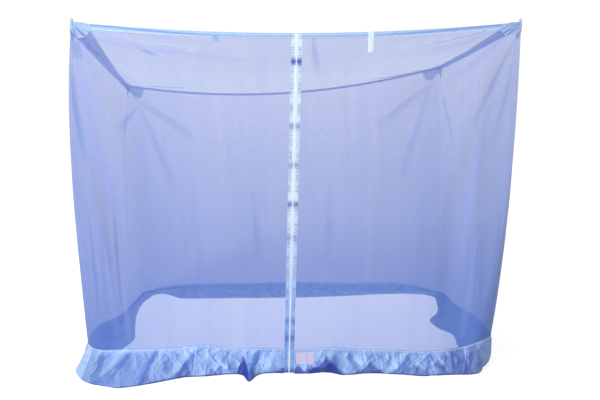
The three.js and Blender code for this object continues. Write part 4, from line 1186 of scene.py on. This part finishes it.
# %% The coil
TOOTH, TOOTH_DEPTH = 3.0, 0.35  # from one tooth to the next, and how far each stands out
COIL_RAISE, COIL_POINTS, COIL_STEP = 0.5, 7, 0.8
shifts = np.linspace(-COIL_HALF, COIL_HALF, COIL_POINTS)
grid = zip_strip(shifts, COIL_STEP)
across, z = np.broadcast_arrays(shifts[:, None], grid[..., 2])
arch = np.sqrt(np.clip(1 - (across / COIL_HALF) ** 2, 0, 1))
grid = raised(grid, COIL_RAISE + arch * (1.0 + TOOTH_DEPTH * np.sin(2 * np.pi * z / TOOTH)))
coil = make_cloth("coil", grid, across, z)
coil_finish.on(coil, "zip_coil")
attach(coil, "root")
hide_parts("zip_coil")

# %% [markdown]
# ## Small pieces sewn on
# A short white tape and a small blue tab hang from the front's top edge, and a bare label is sewn to
# the skirt just right of the zip. The label is lifted off the skirt's own points, so it crumples with it.

# %% Tape and tab
OVER_BAND = 3.0  # how far tape and tab stand off the net's middle, clear of the band
STRIP_POINTS, STRIP_STEP = 9, 4


def front_strip(x_from, x_to, below, length, curl):
    """A short strip that hangs from the front's top edge and curls forwards at its foot."""
    x, t = grid_axes(np.linspace(x_from, x_to, STRIP_POINTS), np.linspace(0, 1, int(length / STRIP_STEP) + 1))
    one = np.ones_like(x)
    share = zip_share(one, x - ZIP_TOP_X)
    grid = net_point("front", share, one)
    grid[..., 2] = top_height("front", share) - below - length * (1 - t)
    lift = OVER_BAND + curl * np.sin(np.pi * (x - x_from) / (x_to - x_from)) * (1 - t)
    return raised(grid, lift), x, t * length


# From and to in X, how far below the edge they start, their length and how far they curl.
for node, (x_from, x_to, below, length, curl), finish, slot_name in (
    ("hang_tape", (322, 348, 0, 90, 3.0), white_tape, "white_tape"),
    ("blue_tab", (-364, -338, 18, 24, 1.0), blue_tape, "blue_tape"),
):
    grid, x, up = front_strip(x_from, x_to, below, length, curl)
    strip = finish.on(make_cloth(f"sewn_{node}", grid, x, up), slot_name)
    settle(strip, node)

# %% The label
LABEL_COLUMNS, LABEL_ROWS = slice(2, 27), slice(48, 66)  # the points of the skirt that it covers
skirt = skirt_grids["skirt_front_right"]
cut = raised(skirt, np.full(skirt.shape[:2], BAND_RAISE))[LABEL_COLUMNS, LABEL_ROWS]
n, m = cut.shape[:2]
along, up = grid_axes(np.arange(n) * FRONT_STEP, np.arange(m) * FRONT_STEP)
label = label_cloth.on(make_cloth("sewn_label", cut, along, up), "bare_label")
settle(label, "label")

# %% [markdown]
# ## Patches and ties at the corners
# Each tied corner carries the whole net, so a satin patch is folded round it, and the pull creases it
# from the tie outwards. The tie itself is a small loop of twisted cord.

# %% Patches
REACH, PATCH_TALL = 88, 72
PATCH_CUT = ((0, 0.4, 0.75, 1), (0.5, 1.0, 0.9, 0.45))  # its depth along the reach, as a share
PATCH_POINTS, PATCH_ROWS = 61, 25
PATCH_PUFF, PULL_DEPTH = 1.9, 1.8  # how far a patch stands out, and how far a pull crease sinks
# The pull creases of a patch: angle below the top edge, width and depth.
PULLS = {
    "front_left": ((0.45, 0.02, 0.4), (0.74, 0.035, 1.0), (1.16, 0.03, 0.9)),
    "front_right": (
        (0.3, 0.02, 0.5), (0.55, 0.025, 0.9), (0.8, 0.025, 1.0), (1.0, 0.02, 0.8), (1.25, 0.02, 0.5),
    ),
    "back_right": ((0.5, 0.03, 0.8), (1.0, 0.03, 0.6)),
    "back_left": ((0.6, 0.03, 0.8), (1.2, 0.03, 0.5)),
}


def meeting(name):
    """The two sides that meet at a corner: the one that ends there, then the one that starts there."""
    before = next(side for side in SIDES if SIDES[side]["ends"][1] == name)
    after = next(side for side in SIDES if SIDES[side]["ends"][0] == name)
    return before, after


def top_length(side):
    a, b = (CORNERS[end]["top"][:2] for end in SIDES[side]["ends"])
    return np.linalg.norm(np.subtract(a, b))


def pulled(name, angle, far):
    """The pull creases of a corner's patch, at an angle and a distance (as a share) from the tie."""
    creases = sum(depth * np.exp(-(((angle - at) / (wide * 2)) ** 2)) for at, wide, depth in PULLS[name])
    return creases * smooth(far / 0.15)


def corner_patch(name):
    """A patch folded round a corner: its points, its place on the flat cloth and its creases, as painted
    shade.
    """
    before, after = meeting(name)
    place, t = grid_axes(np.linspace(-1, 1, PATCH_POINTS), np.linspace(0, 1, PATCH_ROWS))
    drop = PATCH_TALL * np.interp(np.abs(place), *PATCH_CUT) * (1 - t)
    grid = np.zeros(place.shape + (3,))
    for side, mask, u in (
        (before, place <= 0, 1 + place * REACH / top_length(before)),
        (after, place > 0, place * REACH / top_length(after)),
    ):
        u = np.clip(u, 0, 1)
        v = 1 - drop / top_height(side, u)
        point = net_point(side, u, v)
        point[..., :2] += outward(side, v) * PATCH_RAISE
        grid[mask] = point[mask]
    angle, far = np.arctan2(drop, np.abs(place) * REACH), np.hypot(drop, place * REACH) / REACH
    pull = pulled(name, angle, far)
    grid = raised(grid, PATCH_PUFF - PULL_DEPTH * pull)
    # The pull creases are painted darker: painted shade in the creases.
    return grid, place * REACH, t * PATCH_TALL, np.clip(pull * 1.1 - 0.1, 0, 1)


print("pull creases", sum(len(rows) for rows in PULLS.values()))
for name in CORNERS:
    piece = make_cloth(f"corner_patch_{name}", *corner_patch(name))
    patch_satin.on(piece, "satin_band")
    settle(piece, f"patch_{name}")

# %% Tie loops
RING, CORD = 5.6, 1.5  # radius of the loop on the cord's middle, and of the cord
LIFT = 1.05  # the loop stands this far above its corner
RING_POINTS, CORD_POINTS = 65, 15
TWIST_DEPTH, STRANDS, TWISTS = 0.07, 3, 14
UPWARDS = np.array([0, 0, 1])
for name, corner in CORNERS.items():
    x, y, z = corner["top"]
    inward = np.array([-np.sign(x), -np.sign(y), 0.0])
    centre = np.array([x, y, z + LIFT + RING + CORD]) + inward * LOOP_INSET
    inward /= np.linalg.norm(inward)
    side_way = np.cross(inward, UPWARDS)
    ring, girth = grid_axes(np.linspace(0, 2 * np.pi, RING_POINTS), np.linspace(0, -2 * np.pi, CORD_POINTS))
    thick = CORD * (1 + TWIST_DEPTH * np.sin(STRANDS * girth + TWISTS * ring) - TWIST_DEPTH)
    reach = RING + thick * np.cos(girth)
    spoke = np.cos(ring)[..., None] * inward + np.sin(ring)[..., None] * UPWARDS
    grid = centre + reach[..., None] * spoke + (thick * np.sin(girth))[..., None] * side_way
    loop = make_cloth(f"cord_loop_{name}", grid, ring * RING, girth * CORD)
    cord_finish.on(loop, "tie_cord")
    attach(loop, "root")
    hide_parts(f"tie_loop_{name}")

# %% [markdown]
# ## Floor, light and camera
# Net shows best against white: a pale floor and a white surround, an even light from all round, and
# one large soft lamp from the upper left that picks out the satin's creases. White surroundings would
# flood the net with light, so Light Path gives the floor and the surround their full brightness only
# where they are seen directly. The camera stands in front at about head height and looks slightly
# down.

# %% Floor
FLOOR_REACH, FLOOR_BELOW, FLOOR_GLOW = 40.0, 0.0005, 0.7
corners = [(-1, -1), (1, -1), (1, 1), (-1, 1)]
floor_mesh = bpy.data.meshes.new("floor")
floor_mesh.from_pydata([(x * FLOOR_REACH, y * FLOOR_REACH, 0) for x, y in corners], [], [(0, 1, 2, 3)])
floor = bpy.data.objects.new("floor", floor_mesh)
floor.location.z = -FLOOR_BELOW
bpy.context.collection.objects.link(floor)
floor_finish = bpy.data.materials.new("pale_floor")
floor_finish.use_nodes = True
tree = floor_finish.node_tree
floor_shader = tree.nodes["Principled BSDF"]
floor_shader.inputs["Base Color"].default_value = (0.9, 0.9, 0.9, 1)
floor_shader.inputs["Roughness"].default_value = 0.9
floor_shader.inputs["Emission Strength"].default_value = 1.0
seen = tree.nodes.new("ShaderNodeLightPath").outputs["Is Camera Ray"]
tree.links.new(math_node(tree, "MULTIPLY", seen, FLOOR_GLOW), floor_shader.inputs["Emission Color"])
floor_mesh.materials.append(floor_finish)

# %% Surround and lamp
ROOM_LIGHT, ROOM_SEEN = 0.4, 0.65  # the surround's light on the net, and what is added where it is seen
world = bpy.data.worlds.new("surround")
world.use_nodes = True
tree = world.node_tree
background = tree.nodes["Background"]
background.inputs["Color"].default_value = (1, 1, 1, 1)
seen = tree.nodes.new("ShaderNodeLightPath").outputs["Is Camera Ray"]
strength = math_node(tree, "MULTIPLY_ADD", seen, ROOM_SEEN, ROOM_LIGHT)
tree.links.new(strength, background.inputs["Strength"])
bpy.context.scene.world = world
bpy.context.scene.view_settings.view_transform = "Standard"
bpy.context.scene.view_settings.look = "None"

LAMP_AIM = Vector((0, 0, 0.4))
lamp_data = bpy.data.lights.new("soft_lamp", "AREA")
lamp_data.size, lamp_data.energy = 1.5, 360
lamp = bpy.data.objects.new("soft_lamp", lamp_data)
lamp.location = (-3.4, -5.4, 4.6)
lamp.rotation_euler = (LAMP_AIM - lamp.location).to_track_quat("-Z", "Y").to_euler()
bpy.context.collection.objects.link(lamp)
print("lamp", lamp_data.energy, "W")

# %% Camera
PITCH, YAW = math.radians(8.6), math.radians(0.85)  # down from level, and turned to the left
camera_data = bpy.data.cameras.new("camera")
camera_data.lens, camera_data.sensor_width = 46.2, 36
camera = bpy.data.objects.new("camera", camera_data)
camera.location = (0.109, -4.0735, 1.34)
camera.rotation_euler = (math.pi / 2 - PITCH, 0, YAW)
bpy.context.collection.objects.link(camera)
bpy.context.scene.camera = camera
print("camera height", camera.location.z, "m")
